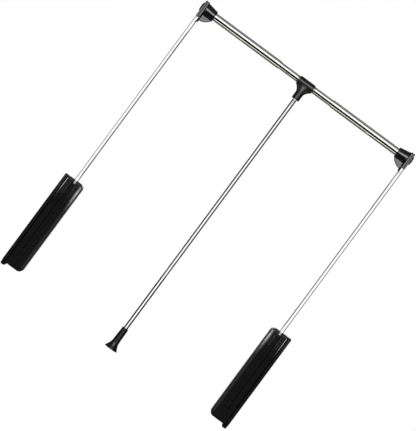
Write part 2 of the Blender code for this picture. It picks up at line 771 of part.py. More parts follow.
def anchor_screw_places():
    """Places of the anchor's screws as (y, z)."""
    height = ANCHOR_HEIGHT - ANCHOR_FLANGE / 2
    return [(DAMPER_Y - ANCHOR_SCREW_SPREAD, height), (DAMPER_Y + ANCHOR_SCREW_SPREAD, height)]


def spring_anchor():
    """Steel angle: a shelf over the spring and a flange that hangs down on the plate."""
    foot = PLATE_WALL + GAP
    reach = ARM_INSET + SPRING_OUTSIDE + ANCHOR_MARGIN
    half = SPRING_OUTSIDE + ANCHOR_MARGIN
    shelf_top = ANCHOR_HEIGHT + ANCHOR_THICKNESS
    outline = [
        (foot, ANCHOR_HEIGHT - ANCHOR_FLANGE),
        (foot + ANCHOR_THICKNESS, ANCHOR_HEIGHT - ANCHOR_FLANGE),
        (foot + ANCHOR_THICKNESS, ANCHOR_HEIGHT),
        (reach, ANCHOR_HEIGHT),
        (reach, shelf_top),
        (foot, shelf_top),
    ]
    angle = prism(outline, "Y", DAMPER_Y - half, DAMPER_Y + half)
    stud_hole = (ARM_INSET, DAMPER_Y, ANCHOR_HEIGHT - OVERLAP)
    cut(angle, cylinder(DAMPER_ROD_RADIUS + GAP, "Z", stud_hole, ANCHOR_THICKNESS + 2 * OVERLAP))
    for y, z in anchor_screw_places():
        place = (foot - OVERLAP, y, z)
        depth = ANCHOR_THICKNESS + 2 * OVERLAP
        cut(angle, cylinder(ANCHOR_SCREW_SHANK + GAP, "X", place, depth, SCREW_SIDES))
    return angle


def anchor_screw(index):
    """One of the screws that hold the anchor's flange on the plate."""
    y, z = anchor_screw_places()[index]
    tip = ANCHOR_SCREW_BLIND + GAP
    head = PLATE_WALL + ANCHOR_THICKNESS + 2 * GAP
    head_top = head + ANCHOR_SCREW_HEAD_DEPTH
    profile = [
        (0.0, tip),
        (ANCHOR_SCREW_SHANK, tip),
        (ANCHOR_SCREW_SHANK, head),
        (ANCHOR_SCREW_HEAD, head),
        (ANCHOR_SCREW_HEAD, head_top),
        (0.0, head_top),
    ]
    return turned(profile, "X", (0.0, y, z), SCREW_SIDES)


def rest_bumper():
    """Rubber stop behind the lever, plugged into the plate's post."""
    front = LEVER_WIDTH / 2 + GAP
    half = BUMPER_WIDTH / 2
    pad = block(
        (ARM_INSET - half, front, BUMPER_HEIGHT),
        (ARM_INSET + half, front + BUMPER_DEPTH, BUMPER_HEIGHT + BUMPER_TALL),
        BUMPER_ROUND,
    )
    stem_foot = (ARM_INSET, front + BUMPER_DEPTH - OVERLAP, BUMPER_HEIGHT + BUMPER_TALL / 2)
    stem_length = OVERLAP + BUMPER_STEM_LENGTH
    return join(pad, cylinder(BUMPER_STEM, "Y", stem_foot, stem_length))


def arm_screw_hole(height):
    """Cutter for an arm screw's shank, from inside the spigot to behind the tube."""
    floor = SPIGOT_RADIUS - ARM_SCREW_DEPTH - GAP
    return cylinder(ARM_SCREW_SHANK + GAP, "Y", (ARM_INSET, floor, height), ARM_RADIUS, SCREW_SIDES)


def arm():
    """Chrome tube between the lever and the corner bracket."""
    foot = (ARM_INSET, 0.0, ARM_BOTTOM)
    pipe = tube(ARM_RADIUS, ARM_RADIUS - ARM_WALL, "Z", foot, ARM_TOP - ARM_BOTTOM)
    cut(pipe, arm_screw_hole(ARM_SCREW_LOW), arm_screw_hole(ARM_SCREW_HIGH))
    return pipe


def arm_screw(height):
    """Screw through the back of the arm into one of its spigots."""
    tip = SPIGOT_RADIUS - ARM_SCREW_DEPTH
    head = ARM_RADIUS + GAP
    head_top = head + ARM_SCREW_HEAD_DEPTH
    profile = [
        (0.0, tip),
        (ARM_SCREW_SHANK, tip),
        (ARM_SCREW_SHANK, head),
        (ARM_SCREW_HEAD, head),
        (ARM_SCREW_HEAD, head_top),
        (0.0, head_top),
    ]
    return turned(profile, "Y", (ARM_INSET, 0.0, height), SCREW_SIDES)


def head_ring(x, inset):
    """Side outline of the corner bracket's head at one place along X, drawn in by an inset."""
    low = (-HEAD_HALF_DEPTH, LEG_BOTTOM)
    high = (HEAD_HALF_DEPTH, RAIL_HEIGHT + HEAD_TOP)
    outline = round_rectangle(low, high, HEAD_FOOT_ROUND, HEAD_ROUND, inset)
    return [(x, y, z) for y, z in outline]


def corner_head():
    """Upright slab of the corner bracket, flat in front and chamfered on both sides."""
    low = ARM_INSET - HEAD_OUT
    high = ARM_INSET + HEAD_IN
    return lofted([
        head_ring(low, HEAD_CHAMFER),
        head_ring(low + HEAD_CHAMFER, 0.0),
        head_ring(high - HEAD_CHAMFER, 0.0),
        head_ring(high, HEAD_CHAMFER),
    ])


def circle_ring(x, radius, rise):
    """Points of a circle round the rail's direction, raised from the rail's axis."""
    points = []
    for index in range(FINE_SIDES):
        angle = 2 * math.pi * index / FINE_SIDES
        height = RAIL_HEIGHT + rise + radius * math.sin(angle)
        points.append((x, radius * math.cos(angle), height))
    return points


def corner_collar():
    """Tapered collar that takes the rail tube."""
    bore = OUTER_TUBE_RADIUS + GAP
    root = bore + COLLAR_WALL_ROOT
    mouth = bore + COLLAR_WALL_MOUTH
    end = ARM_INSET + COLLAR_REACH
    return lofted([
        circle_ring(ARM_INSET + HEAD_IN - OVERLAP, root, COLLAR_RISE_ROOT),
        circle_ring(end - COLLAR_LIP, mouth, -COLLAR_SINK_MOUTH),
        circle_ring(end, mouth - COLLAR_LIP, -COLLAR_SINK_MOUTH),
    ])


def gusset_edge(inside, top, reach, fall):
    """Curved edge of the web under the collar, a little flatter than an ellipse."""
    points = []
    for step in range(GUSSET_STEPS + 1):
        angle = math.pi / 2 * step / GUSSET_STEPS
        across = math.cos(angle) ** (2 / GUSSET_FULLNESS)
        down = math.sin(angle) ** (2 / GUSSET_FULLNESS)
        points.append((inside + reach * across, top - fall * down))
    return points


def corner_gusset():
    """Rounded web under the collar."""
    inside = ARM_INSET + HEAD_IN
    reach = COLLAR_REACH - HEAD_IN - COLLAR_LIP
    top = RAIL_HEIGHT - GUSSET_TOP
    outline = gusset_edge(inside, top, reach, GUSSET_DROP - GUSSET_TOP)
    outline.append((inside - OVERLAP, RAIL_HEIGHT - GUSSET_DROP))
    outline.append((inside - OVERLAP, RAIL_HEIGHT - OUTER_TUBE_RADIUS))
    outline.append((inside + reach, RAIL_HEIGHT - OUTER_TUBE_RADIUS))
    return prism(outline, "Y", -GUSSET_HALF_DEPTH, GUSSET_HALF_DEPTH)


def corner_bracket():
    """Moulded elbow: slab, fin and spigot for the arm, collar and gusset for the rail."""
    fin = block(
        (ARM_INSET + ARM_RADIUS + GAP, -FIN_HALF_DEPTH, RAIL_HEIGHT - FIN_DROP),
        (ARM_INSET + HEAD_IN - FACE_STEP, FIN_HALF_DEPTH, RAIL_HEIGHT + OVERLAP),
    )
    spigot_foot = (ARM_INSET, 0.0, LEG_BOTTOM - SPIGOT_LENGTH)
    spigot = cylinder(SPIGOT_RADIUS, "Z", spigot_foot, SPIGOT_LENGTH + OVERLAP)
    bracket = join(corner_head(), fin, corner_collar(), corner_gusset(), spigot)
    stop = ARM_INSET + HEAD_IN + TUBE_STOP_WALL
    bore = (stop, 0.0, RAIL_HEIGHT)
    cut(bracket, cylinder(OUTER_TUBE_RADIUS + GAP, "X", bore, COLLAR_REACH, FINE_SIDES))
    cut(bracket, arm_screw_hole(ARM_SCREW_HIGH))
    cap_hole = (ARM_INSET - HEAD_OUT - OVERLAP, 0.0, RAIL_HEIGHT + CAP_RAISE)
    cap_depth = CAP_STEM_LENGTH + GAP + OVERLAP
    cut(bracket, cylinder(CAP_STEM_RADIUS + GAP, "X", cap_hole, cap_depth))
    clamp_hole = (ARM_INSET + CLAMP_SCREW_PLACE, OUTER_TUBE_RADIUS, RAIL_HEIGHT)
    return cut(bracket, cylinder(CLAMP_SCREW_RADIUS + GAP, "Y", clamp_hole, OUTER_TUBE_RADIUS, SCREW_SIDES))


def rail_cap():
    """Low round cap on the elbow's outer face."""
    seat = ARM_INSET - HEAD_OUT - GAP
    face = ARM_INSET - HEAD_OUT - CAP_PROUD
    stem = ARM_INSET - HEAD_OUT + CAP_STEM_LENGTH
    profile = [
        (0.0, face),
        (CAP_FLAT_RADIUS, face),
        (CAP_RADIUS, seat - OVERLAP),
        (CAP_RADIUS, seat),
        (CAP_STEM_RADIUS, seat),
        (CAP_STEM_RADIUS, stem),
        (0.0, stem),
    ]
    return turned(profile, "X", (0.0, 0.0, RAIL_HEIGHT + CAP_RAISE), FINE_SIDES)


def clamp_screw():
    """Grub screw in the back of the collar."""
    start = (ARM_INSET + CLAMP_SCREW_PLACE, OUTER_TUBE_RADIUS + GAP, RAIL_HEIGHT)
    return cylinder(CLAMP_SCREW_RADIUS, "Y", start, COLLAR_WALL_MOUTH, SCREW_SIDES)


def outer_tube():
    """Outer tube of the rail, from the collar to the step where the inner tube shows."""
    start = ARM_INSET + HEAD_IN + TUBE_STOP_WALL + GAP
    end = MIDDLE - INNER_TUBE_SHOWN / 2
    return tube(OUTER_TUBE_RADIUS, OUTER_TUBE_BORE, "X", (start, 0.0, RAIL_HEIGHT), end - start)


def rail_inner_tube():
    """Inner tube of the rail, lapped into both outer tubes."""
    half = INNER_TUBE_SHOWN / 2 + INNER_TUBE_LAP
    bore = INNER_TUBE_RADIUS - TUBE_WALL
    return tube(INNER_TUBE_RADIUS, bore, "X", (MIDDLE - half, 0.0, RAIL_HEIGHT), 2 * half)


def tee_bush():
    """Thin sleeve on the inner tube, on which the tee turns."""
    bore = INNER_TUBE_RADIUS + GAP
    start = (MIDDLE - TEE_BUSH_HALF, 0.0, RAIL_HEIGHT)
    return tube(bore + TEE_BUSH_WALL, bore, "X", start, 2 * TEE_BUSH_HALF)


def tee_ring(half_width, half_depth, drop):
    """Points of an ellipse round the tee's neck, at a drop below the rail's axis."""
    points = []
    for index in range(FINE_SIDES):
        angle = 2 * math.pi * index / FINE_SIDES
        x = MIDDLE + half_width * math.cos(angle)
        points.append((x, half_depth * math.sin(angle), RAIL_HEIGHT - drop))
    return points


def tee_flare():
    """Hollow-cheeked flare from the sleeve down to the neck."""
    spread = TEE_FLARE_HALF - TEE_NECK_RADIUS
    deepen = TEE_FLARE_DEPTH - TEE_NECK_RADIUS
    fall = TEE_NECK_TOP - TEE_FLARE_TOP
    rings = []
    for step in range(TEE_FLARE_STEPS + 1):
        share = (1.0 - step / TEE_FLARE_STEPS) ** TEE_FLARE_CURVE
        drop = TEE_FLARE_TOP + fall * step / TEE_FLARE_STEPS
        rings.append(tee_ring(TEE_NECK_RADIUS + spread * share, TEE_NECK_RADIUS + deepen * share, drop))
    rings.append(tee_ring(TEE_NECK_RADIUS, TEE_NECK_RADIUS, TEE_BOTTOM))
    return lofted(rings)


def tee_bracket():
    """Moulded tee: sleeve on the rail, flare and neck for the pull rod."""
    outside = TEE_SLEEVE_BORE + TEE_SLEEVE_WALL
    start = (MIDDLE - TEE_SLEEVE_HALF, 0.0, RAIL_HEIGHT)
    tee = cylinder(outside, "X", start, 2 * TEE_SLEEVE_HALF, FINE_SIDES)
    join(tee, tee_flare())
    bore = (MIDDLE - TEE_FLARE_HALF - OVERLAP, 0.0, RAIL_HEIGHT)
    cut(tee, cylinder(TEE_SLEEVE_BORE, "X", bore, 2 * (TEE_FLARE_HALF + OVERLAP), FINE_SIDES))
    socket = (MIDDLE, 0.0, RAIL_HEIGHT - TEE_BOTTOM - OVERLAP)
    cut(tee, cylinder(ROD_SOCKET, "Z", socket, TEE_BOTTOM + OVERLAP - TEE_SOCKET_TOP, FINE_SIDES))
    screw_hole = (MIDDLE, HANDLE_ROD_RADIUS, RAIL_HEIGHT - TEE_SCREW_PLACE)
    return cut(tee, cylinder(TEE_SCREW_RADIUS + GAP, "Y", screw_hole, TEE_NECK_RADIUS, SCREW_SIDES))


def tee_screw():
    """Grub screw in the back of the tee's neck."""
    start = (MIDDLE, HANDLE_ROD_RADIUS + GAP, RAIL_HEIGHT - TEE_SCREW_PLACE)
    return cylinder(TEE_SCREW_RADIUS, "Y", start, TEE_NECK_WALL, SCREW_SIDES)


def handle_rod():
    """Chrome pull rod from the tee's socket to the grip's socket."""
    top = RAIL_HEIGHT - TEE_SOCKET_TOP - GAP
    bottom = RAIL_HEIGHT - GRIP_TOP - GRIP_SOCKET + GAP
    return cylinder(HANDLE_ROD_RADIUS, "Z", (MIDDLE, 0.0, bottom), top - bottom, FINE_SIDES)


def handle_grip():
    """Moulded grip that flares to a flat foot."""
    top = -GRIP_TOP
    end = -GRIP_TOP - GRIP_LENGTH
    spread = GRIP_END_RADIUS - GRIP_WAIST_RADIUS
    fall = GRIP_LENGTH - GRIP_WAIST_DROP - GRIP_END_EDGE
    flare = []
    for step in range(GRIP_FLARE_STEPS + 1):
        share = step / GRIP_FLARE_STEPS
        radius = GRIP_WAIST_RADIUS + spread * share ** GRIP_FLARE_CURVE
        flare.append((radius, top - GRIP_WAIST_DROP - fall * share))
    profile = [
        (0.0, top - GRIP_SOCKET),
        (ROD_SOCKET, top - GRIP_SOCKET),
        (ROD_SOCKET, top),
        (GRIP_TOP_RADIUS, top),
        *flare,
        (GRIP_END_RADIUS, end),
        (0.0, end),
    ]
    return turned(profile, "Z", (MIDDLE, 0.0, RAIL_HEIGHT), FINE_SIDES)


SIDE_PIECES = (
    ("wall_plate", wall_plate, "side", "black_satin"),
    ("cover", cover, "side", "black_gloss"),
    ("cover_screw_low", partial(cover_screw, COVER_SCREW_HEIGHTS[0]), "side", "steel"),
    ("cover_screw_high", partial(cover_screw, COVER_SCREW_HEIGHTS[1]), "side", "steel"),
    ("pivot_pin", pivot_pin, "side", "steel"),
    ("spring_anchor", spring_anchor, "side", "steel"),
    ("anchor_screw_front", partial(anchor_screw, 0), "side", "steel"),
    ("anchor_screw_back", partial(anchor_screw, 1), "side", "steel"),
    ("damper_barrel", damper_barrel, "side", "steel"),
    ("spring", spring, "side", "steel"),
    ("rest_bumper", rest_bumper, "side", "rubber"),
    ("swing_lever", swing_lever, "swing", "cast_black"),
    ("pivot_bush_wall", partial(pivot_bush, -1), "swing", "dark_nylon"),
    ("pivot_bush_cover", partial(pivot_bush, 1), "swing", "dark_nylon"),
    ("crank_pin", crank_pin, "swing", "steel"),
    ("arm", arm, "swing", "chrome"),
    ("arm_screw_low", partial(arm_screw, ARM_SCREW_LOW), "swing", "steel"),
    ("arm_screw_high", partial(arm_screw, ARM_SCREW_HIGH), "swing", "steel"),
    ("corner_bracket", corner_bracket, "swing", "black_gloss"),
    ("rail_cap", rail_cap, "swing", "black_gloss"),
    ("clamp_screw", clamp_screw, "swing", "steel"),
    ("outer_tube", outer_tube, "swing", "chrome"),
    ("crosshead", crosshead, "yoke", "cast_black"),
    ("damper_rod", damper_rod, "yoke", "steel"),
)
MIDDLE_PIECES = (
    ("rail_inner_tube", rail_inner_tube, "chrome"),
    ("tee_bush", tee_bush, "black_satin"),
    ("tee_bracket", tee_bracket, "black_satin"),
    ("tee_screw", tee_screw, "steel"),
    ("handle_rod", handle_rod, "chrome"),
    ("handle_grip", handle_grip, "black_satin"),
)


def mirror(shape):
    """Turn a left piece into a right one, at the other wall."""
    across = Matrix.Translation((CABINET_WIDTH, 0.0, 0.0)) @ Matrix.Scale(-1.0, 4, (1.0, 0.0, 0.0))
    shape.data.transform(across)
    shape.data.flip_normals()


def axis_empty(name, place):
    """Empty on a joint's axis, which carries the pieces that move there."""
    empty = bpy.data.objects.new(name, None)
    empty.location = place
    bpy.context.scene.collection.objects.link(empty)
    return empty


def settle(shape, name, carrier, material):
    """Name a piece, give it its material and smooth shading, and hang it on its empty."""
    shape.name = name
    shape.data.name = name
    shape.data.transform(Matrix.Translation(-carrier.location))
    shape.parent = carrier
    shape.data.materials.clear()
    shape.data.materials.append(material)
    shape.data.shade_smooth()
    shape.data.set_sharp_from_angle(angle=SHARP_ANGLE)


def build_side(side, materials):
    """All the pieces of one housing, its arm and its half of the rail."""
    wall = 0.0 if side == "left" else CABINET_WIDTH
    carriers = {
        "side": axis_empty(side + "_side", (wall, 0.0, 0.0)),
        "swing": axis_empty(side + "_swing", (wall, 0.0, 0.0)),
        "yoke": axis_empty(side + "_yoke", (wall, DAMPER_Y, 0.0)),
    }
    for name, make, carrier, finish in SIDE_PIECES:
        shape = make()
        if side == "right":
            mirror(shape)
        settle(shape, side + "_" + name, carriers[carrier], materials[finish])


def build():
    """The whole lift."""
    clear_scene()
    materials = {name: finish_material(name) for name in FINISHES}
    for side in SIDES:
        build_side(side, materials)
    rail_axis = axis_empty("rail_axis", (MIDDLE, 0.0, RAIL_HEIGHT))
    for name, make, finish in MIDDLE_PIECES:
        settle(make(), name, rail_axis, materials[finish])


build()
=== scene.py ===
"""Dressed pull-down wardrobe rail: smooth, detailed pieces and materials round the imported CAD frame.

Metres, +Z up, -Y to the front, as in the CAD. Pieces of one side are made for the left housing and mirrored.
"""

import itertools
import json
import math

import bmesh
import bpy
from mathutils import Matrix
from mathutils import Vector

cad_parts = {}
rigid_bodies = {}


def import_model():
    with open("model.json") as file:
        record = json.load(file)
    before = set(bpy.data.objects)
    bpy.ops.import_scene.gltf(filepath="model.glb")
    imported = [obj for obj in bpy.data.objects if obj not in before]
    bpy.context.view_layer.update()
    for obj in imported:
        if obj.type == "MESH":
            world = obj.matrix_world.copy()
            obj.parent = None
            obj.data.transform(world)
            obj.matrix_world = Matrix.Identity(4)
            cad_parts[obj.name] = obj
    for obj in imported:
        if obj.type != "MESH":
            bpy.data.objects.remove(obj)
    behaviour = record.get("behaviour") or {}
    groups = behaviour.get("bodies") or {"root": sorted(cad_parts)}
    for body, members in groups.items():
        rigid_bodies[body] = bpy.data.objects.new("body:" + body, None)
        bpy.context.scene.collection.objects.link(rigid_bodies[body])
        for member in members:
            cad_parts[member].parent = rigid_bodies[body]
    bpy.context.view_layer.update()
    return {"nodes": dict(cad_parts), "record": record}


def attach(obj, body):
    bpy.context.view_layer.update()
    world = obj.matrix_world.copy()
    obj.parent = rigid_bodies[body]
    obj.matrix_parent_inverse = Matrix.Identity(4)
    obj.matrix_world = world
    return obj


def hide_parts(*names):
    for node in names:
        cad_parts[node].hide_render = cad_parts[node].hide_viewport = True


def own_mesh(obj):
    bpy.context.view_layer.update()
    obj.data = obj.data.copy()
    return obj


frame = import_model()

# Fits and mesh fineness
GAP = 0.0003
OVERLAP = 0.001
MERGE = 0.000004
ROUND_SIDES = 64
TUBE_SIDES = 72
BORE_SIDES = 48
SCREW_SIDES = 32
CORNER_STEPS = 10
EDGE_STEPS = 5
SOFT_STEPS = 4
CIRCLE = 2.0
SHARP_ANGLE = math.radians(32.0)
BEVEL_ANGLE = math.radians(48.0)
BEVEL_STEPS = 2
FINE_BEVEL = 0.0003

# Main sizes
CABINET_WIDTH = 0.733
MIDDLE = CABINET_WIDTH / 2
ARM_INSET = 0.033
RAIL_HEIGHT = 0.792
SIDES = ("left", "right")

# Housing
HOUSING_WIDTH = 0.060
HOUSING_FRONT = -0.018
HOUSING_BACK = 0.050
HOUSING_TOP = 0.233
COVER_BOTTOM = -0.0495
HOUSING_ROUND = 0.0125
HOUSING_TOP_ROUND = 0.006
COVER_WALL = 0.0022
COVER_INSIDE = HOUSING_WIDTH - COVER_WALL
PLATE_WALL = 0.003
RIM_DEPTH = 0.0085
RIM_WALL = 0.0022
RIM_ROUND = 0.0010
COVER_EDGE = RIM_DEPTH + GAP
TAB_DEPTH = 0.0134
TAB_BOTTOM = -0.058
TAB_ROUND = 0.0042
TAB_TOP_ROUND = 0.0018
TAB_EDGE = 0.0015
TAB_ROOT_INSET = 0.0004
EDGE_ROUND = 0.005
SLOT_HALF = 0.00635
SLOT_BOTTOM = -0.0100
LIP_PLACE = 0.0076
LIP_RADIUS = 0.0020
LIP_SINK = 0.0018
LIP_CORNER = 0.0025
LIP_SIDES = 16
LIP_BACK_STEPS = 8
WALL_SCREW_RADIUS = 0.0024
WALL_SCREW_SINK = 0.0044
WALL_SCREW_PLACES = ((-0.006, -0.030), (-0.006, 0.120), (0.020, 0.218))
POCKET_DEPTH = 0.0008
POCKET_ROUND = 0.004
POCKETS = (((-0.011, 0.024), (0.043, 0.104)), ((-0.011, 0.152), (0.043, 0.203)))
COVER_SCREW_Y = 0.038
COVER_SCREW_HEIGHTS = {"low": -0.035, "high": 0.205}
COVER_SCREW_BOSS = 0.0045
COVER_SCREW_SPLIT = 0.020
COVER_SCREW_SHANK = 0.00175
COVER_SCREW_HEAD = 0.0033
COVER_SCREW_HEAD_DEPTH = 0.0025
COVER_SCREW_SINK = 0.0005
COVER_SCREW_BITE = 0.010
PIVOT_PIN_RADIUS = 0.004
PIVOT_BOSS_RADIUS = 0.007
PIVOT_BLIND_WALL = 0.002
PLATE_BOSS_TIP = 0.02515
COVER_BOSS_START = 0.04085
ANCHOR_SCREW_PLACES = ((0.020, 0.1365), (0.036, 0.1365))
ANCHOR_SCREW_BORE = 0.00205
ANCHOR_SCREW_BLIND = 0.0009
POST_FRONT = 0.01605
POST_DEPTH = 0.005
BUMPER_HEIGHT = 0.196
BUMPER_SIZE = 0.012
BUMPER_STEM = 0.0025
BUMPER_STEM_LENGTH = 0.003

# Screws; the tip, taper, cross, chamfer and socket are shares of the radius that they are cut in
SCREW_TIP = 0.7
SCREW_TAPER = 0.6
CROSS_LONG = 0.58
CROSS_SHORT = 0.14
GRUB_CHAMFER = 0.2
GRUB_SOCKET = 0.55
GRUB_SOCKET_SIDES = 6
GRUB_RADIUS = 0.002

# Swing lever
LEVER_WIDTH = 0.0115
LEVER_TOP = 0.2225
LEVER_BEVEL = 0.0006
HUB_RADIUS = 0.0119
HUB_BORE = 0.0061
CRANK_RADIUS = 0.018
CRANK_PLACE = (0.01157, -0.013789)
CRANK_TILT = math.radians(50.0)
LEVER_TOE_FRONT = 0.0128
LEVER_TOE_DROP = 0.0115
LEVER_TOE_ROUND = 0.001
LEVER_TOE_STEPS = 2
EAR_RADIUS = 0.006
EAR_BORE = 0.0033
LEVER_POCKET_DEPTH = 0.002
LEVER_POCKET = (0.022, 0.200)
LEVER_POCKET_HALF = 0.0034
LEVER_POCKET_ROUND = 0.0012
LEVER_POCKET_STEPS = 3

# Spring
SPRING_RADIUS = 0.01025
SPRING_WIRE = 0.00125
SPRING_Y = 0.028
SPRING_TURNS = 12
SPRING_CURL_POINTS = 28
SPRING_WIRE_SIDES = 12
SPRING_END_GAP = 0.0006
SPRING_LOW = 0.002511
SPRING_HIGH = 0.1497

# Arm tube and its screws
ARM_RADIUS = 0.0055
ARM_WALL = 0.001
ARM_BOTTOM = 0.2228
ARM_TOP = 0.7654
SPIGOT_RADIUS = 0.0042
SPIGOT_LENGTH = 0.036
ARM_SCREW_HEIGHTS = {"low": 0.2395, "high": 0.7487}
ARM_SCREW_SHANK = 0.0016
ARM_SCREW_TIP = 0.0012
ARM_SCREW_HEAD = 0.003
ARM_SCREW_HEAD_DEPTH = 0.0016

# Telescopic rail
OUTER_TUBE_RADIUS = 0.011
OUTER_TUBE_BORE = 0.0098
INNER_TUBE_RADIUS = 0.0095
INNER_TUBE_BORE = 0.0083
INNER_TUBE_SHOWN = 0.169
INNER_TUBE_LAP = 0.090
TUBE_CHAMFER = 0.0004

# Corner bracket, measured from the arm's axis and from the rail's axis
HEAD_TOP = 0.0217
HEAD_HALF_DEPTH = 0.018
HEAD_ROUND = 0.005
HEAD_FOOT_ROUND = 0.002
HEAD_LEAST_ROUND = 0.0006
HEAD_OUT = 0.0053
HEAD_IN = 0.0087
LEG_BOTTOM = 0.7657
FIN_LOW = 0.0388
FIN_HIGH = 0.0413
FIN_HALF_DEPTH = 0.007
FIN_DROP = 0.0384
COLLAR_BORE = 0.0113
COLLAR_REACH = 0.0374
COLLAR_ROOT = 0.0178
COLLAR_MOUTH = 0.0153
COLLAR_RISE_ROOT = 0.0021
COLLAR_SINK_MOUTH = 0.0004
COLLAR_LIP = 0.0022
GUSSET_HALF_DEPTH = 0.004
GUSSET_DROP = 0.0324
GUSSET_TOP = 0.0145
GUSSET_FULLNESS = 1.55
GUSSET_STEPS = 20
GUSSET_BORDER = 0.0018
GUSSET_LEAN = 0.12
BRACKET_BEVEL = 0.0004
TUBE_STOP = 0.0420
CAP_RADIUS = 0.0145
CAP_FLAT_RADIUS = 0.0095
CAP_ROUND = 0.0012
CAP_PROUD = 0.0036
CAP_RAISE = 0.002
CAP_RIM = 0.0003
CAP_STEM_RADIUS = 0.004
CLAMP_SCREW_PLACE = 0.057
CLAMP_SCREW_LENGTH = 0.0034

# Tee on the rail
TEE_BUSH_HALF = 0.0235
TEE_BUSH_RADIUS = 0.0104
TEE_SLEEVE_HALF = 0.02275
TEE_SLEEVE_BORE = 0.0107
TEE_SLEEVE_RADIUS = 0.0120
TEE_SLEEVE_ROUND = 0.0007
TEE_FLARE_HALF = 0.0265
TEE_FLARE_TOP = 0.0102
TEE_FLARE_RIM = 0.0014
TEE_FLARE_DEPTH = 0.0105
TEE_SHOULDER = 0.002
TEE_SHOULDER_HALF = 0.020
TEE_FLARE_CURVE = 2.0
TEE_FLARE_STEPS = 20
TEE_FLARE_FULLNESS = 1.35
TEE_NECK_TOP = 0.032
TEE_NECK_RADIUS = 0.0110
TEE_BOTTOM = 0.0485
TEE_FOOT_ROUND = 0.0009
TEE_SOCKET_TOP = 0.016
TEE_SCREW_PLACE = 0.039
TEE_SCREW_LENGTH = 0.0042
ROD_SOCKET = 0.0063

# Pull rod and grip
HANDLE_ROD_RADIUS = 0.006
HANDLE_ROD_TOP = 0.7757
HANDLE_ROD_BOTTOM = -0.0307
GRIP_TOP = -0.001
GRIP_LENGTH = 0.0665
GRIP_TOP_RADIUS = 0.0086
GRIP_WAIST_RADIUS = 0.0099
GRIP_WAIST_DROP = 0.042
GRIP_END_RADIUS = 0.0183
GRIP_END_EDGE = 0.002
GRIP_ROUND = 0.0009
GRIP_FLARE_CURVE = 1.7
GRIP_FLARE_STEPS = 16
GRIP_SOCKET = 0.030
GRIP_SOCKET_ROUND = 0.0003

FORWARD = Vector((0.0, -1.0, 0.0))
UP = Vector((0.0, 0.0, 1.0))
AXIS_TURNS = {
    "X": Matrix.Rotation(math.pi / 2, 4, "Y"),
    "Y": Matrix.Rotation(-math.pi / 2, 4, "X"),
    "Z": Matrix.Identity(4),
}


# Mesh helpers

def placed(name, data):
    """A new object, linked to the scene."""
    thing = bpy.data.objects.new(name, data)
    bpy.context.scene.collection.objects.link(thing)
    return thing


def merge(bm):
    """Merge the points that lie almost in one place."""
    bmesh.ops.remove_doubles(bm, verts=bm.verts[:], dist=MERGE)


def shape_from(bm):
    """An object for a mesh, with its faces turned outwards."""
    merge(bm)
    bmesh.ops.recalc_face_normals(bm, faces=bm.faces[:])
    mesh = bpy.data.meshes.new("shape")
    bm.to_mesh(mesh)
    bm.free()
    return placed("shape", mesh)


def mend(mesh):
    """Mend what a cut leaves: close points, and faces or edges without a size."""
    bm = bmesh.new()
    bm.from_mesh(mesh)
    merge(bm)
    bmesh.ops.dissolve_degenerate(bm, edges=bm.edges[:], dist=MERGE)
    bm.to_mesh(mesh)
    bm.free()


def combine(shape, tools, operation):
    """Join the tools to the shape, or cut them from it."""
    for tool in tools:
        modifier = shape.modifiers.new("combine", "BOOLEAN")
        modifier.operation = operation
        modifier.object = tool
        depsgraph = bpy.context.evaluated_depsgraph_get()
        mesh = bpy.data.meshes.new_from_object(shape.evaluated_get(depsgraph))
        shape.modifiers.clear()
        shape.data = mesh
        bpy.data.objects.remove(tool, do_unlink=True)
        mend(mesh)
    return shape


def join(shape, *tools):
    """Unite the tools with the shape."""
    return combine(shape, tools, "UNION")


def cut(shape, *tools):
    """Take the tools away from the shape."""
    return combine(shape, tools, "DIFFERENCE")


def turned(profile, axis, at, sides=ROUND_SIDES):
    """Spin (radius, distance) points about an axis; a profile that stays off the axis is closed."""
    bm = bmesh.new()
    verts = [bm.verts.new((radius, 0.0, distance)) for radius, distance in profile]
    edges = [bm.edges.new(pair) for pair in zip(verts, verts[1:])]
    if profile[0][0] > 0.0:
        edges.append(bm.edges.new((verts[-1], verts[0])))
    bmesh.ops.spin(bm, geom=verts + edges, axis=UP, angle=2 * math.pi, steps=sides, use_merge=True)
    merge(bm)
    bmesh.ops.dissolve_verts(bm, verts=[vert for vert in bm.verts if vert.co.xy.length < MERGE])
    bmesh.ops.transform(bm, matrix=Matrix.Translation(at) @ AXIS_TURNS[axis], verts=bm.verts[:])
    return shape_from(bm)


def both_ends(end, length):
    """A line of (size, distance) points with the same end at both sides of a length."""
    return end + [(size, length - distance) for size, distance in reversed(end)]


def cylinder(radius, axis, at, length, sides=BORE_SIDES, chamfer=0.0):
    """A solid round bar that runs from a point along an axis, maybe with chamfered ends."""
    end = [(0.0, 0.0), (radius - chamfer, 0.0)]
    if chamfer > 0.0:
        end.append((radius, chamfer))
    return turned(both_ends(end, length), axis, at, sides)


def drill(shape, radius, axis, at, depth, sides=SCREW_SIDES):
    """Cut a round hole that runs from a point along an axis."""
    return cut(shape, cylinder(radius, axis, at, depth, sides))


def tube(radius, bore, axis, at, length):
    """A round tube with chamfered ends."""
    half = TUBE_CHAMFER / 2
    end = [(bore, half), (bore + half, 0.0), (radius - TUBE_CHAMFER, 0.0), (radius, TUBE_CHAMFER)]
    return turned(both_ends(end, length), axis, at, TUBE_SIDES)


def block(low, high, rounding=0.0, steps=1):
    """A box between two corners, maybe with rounded edges."""
    bm = bmesh.new()
    bmesh.ops.create_cube(bm, size=1.0)
    bmesh.ops.scale(bm, vec=Vector(high) - Vector(low), verts=bm.verts[:])
    bmesh.ops.translate(bm, vec=(Vector(high) + Vector(low)) / 2, verts=bm.verts[:])
    if rounding > 0.0:
        bmesh.ops.bevel(bm, geom=bm.edges[:], offset=rounding, segments=steps, profile=0.5, affect="EDGES")
    return shape_from(bm)


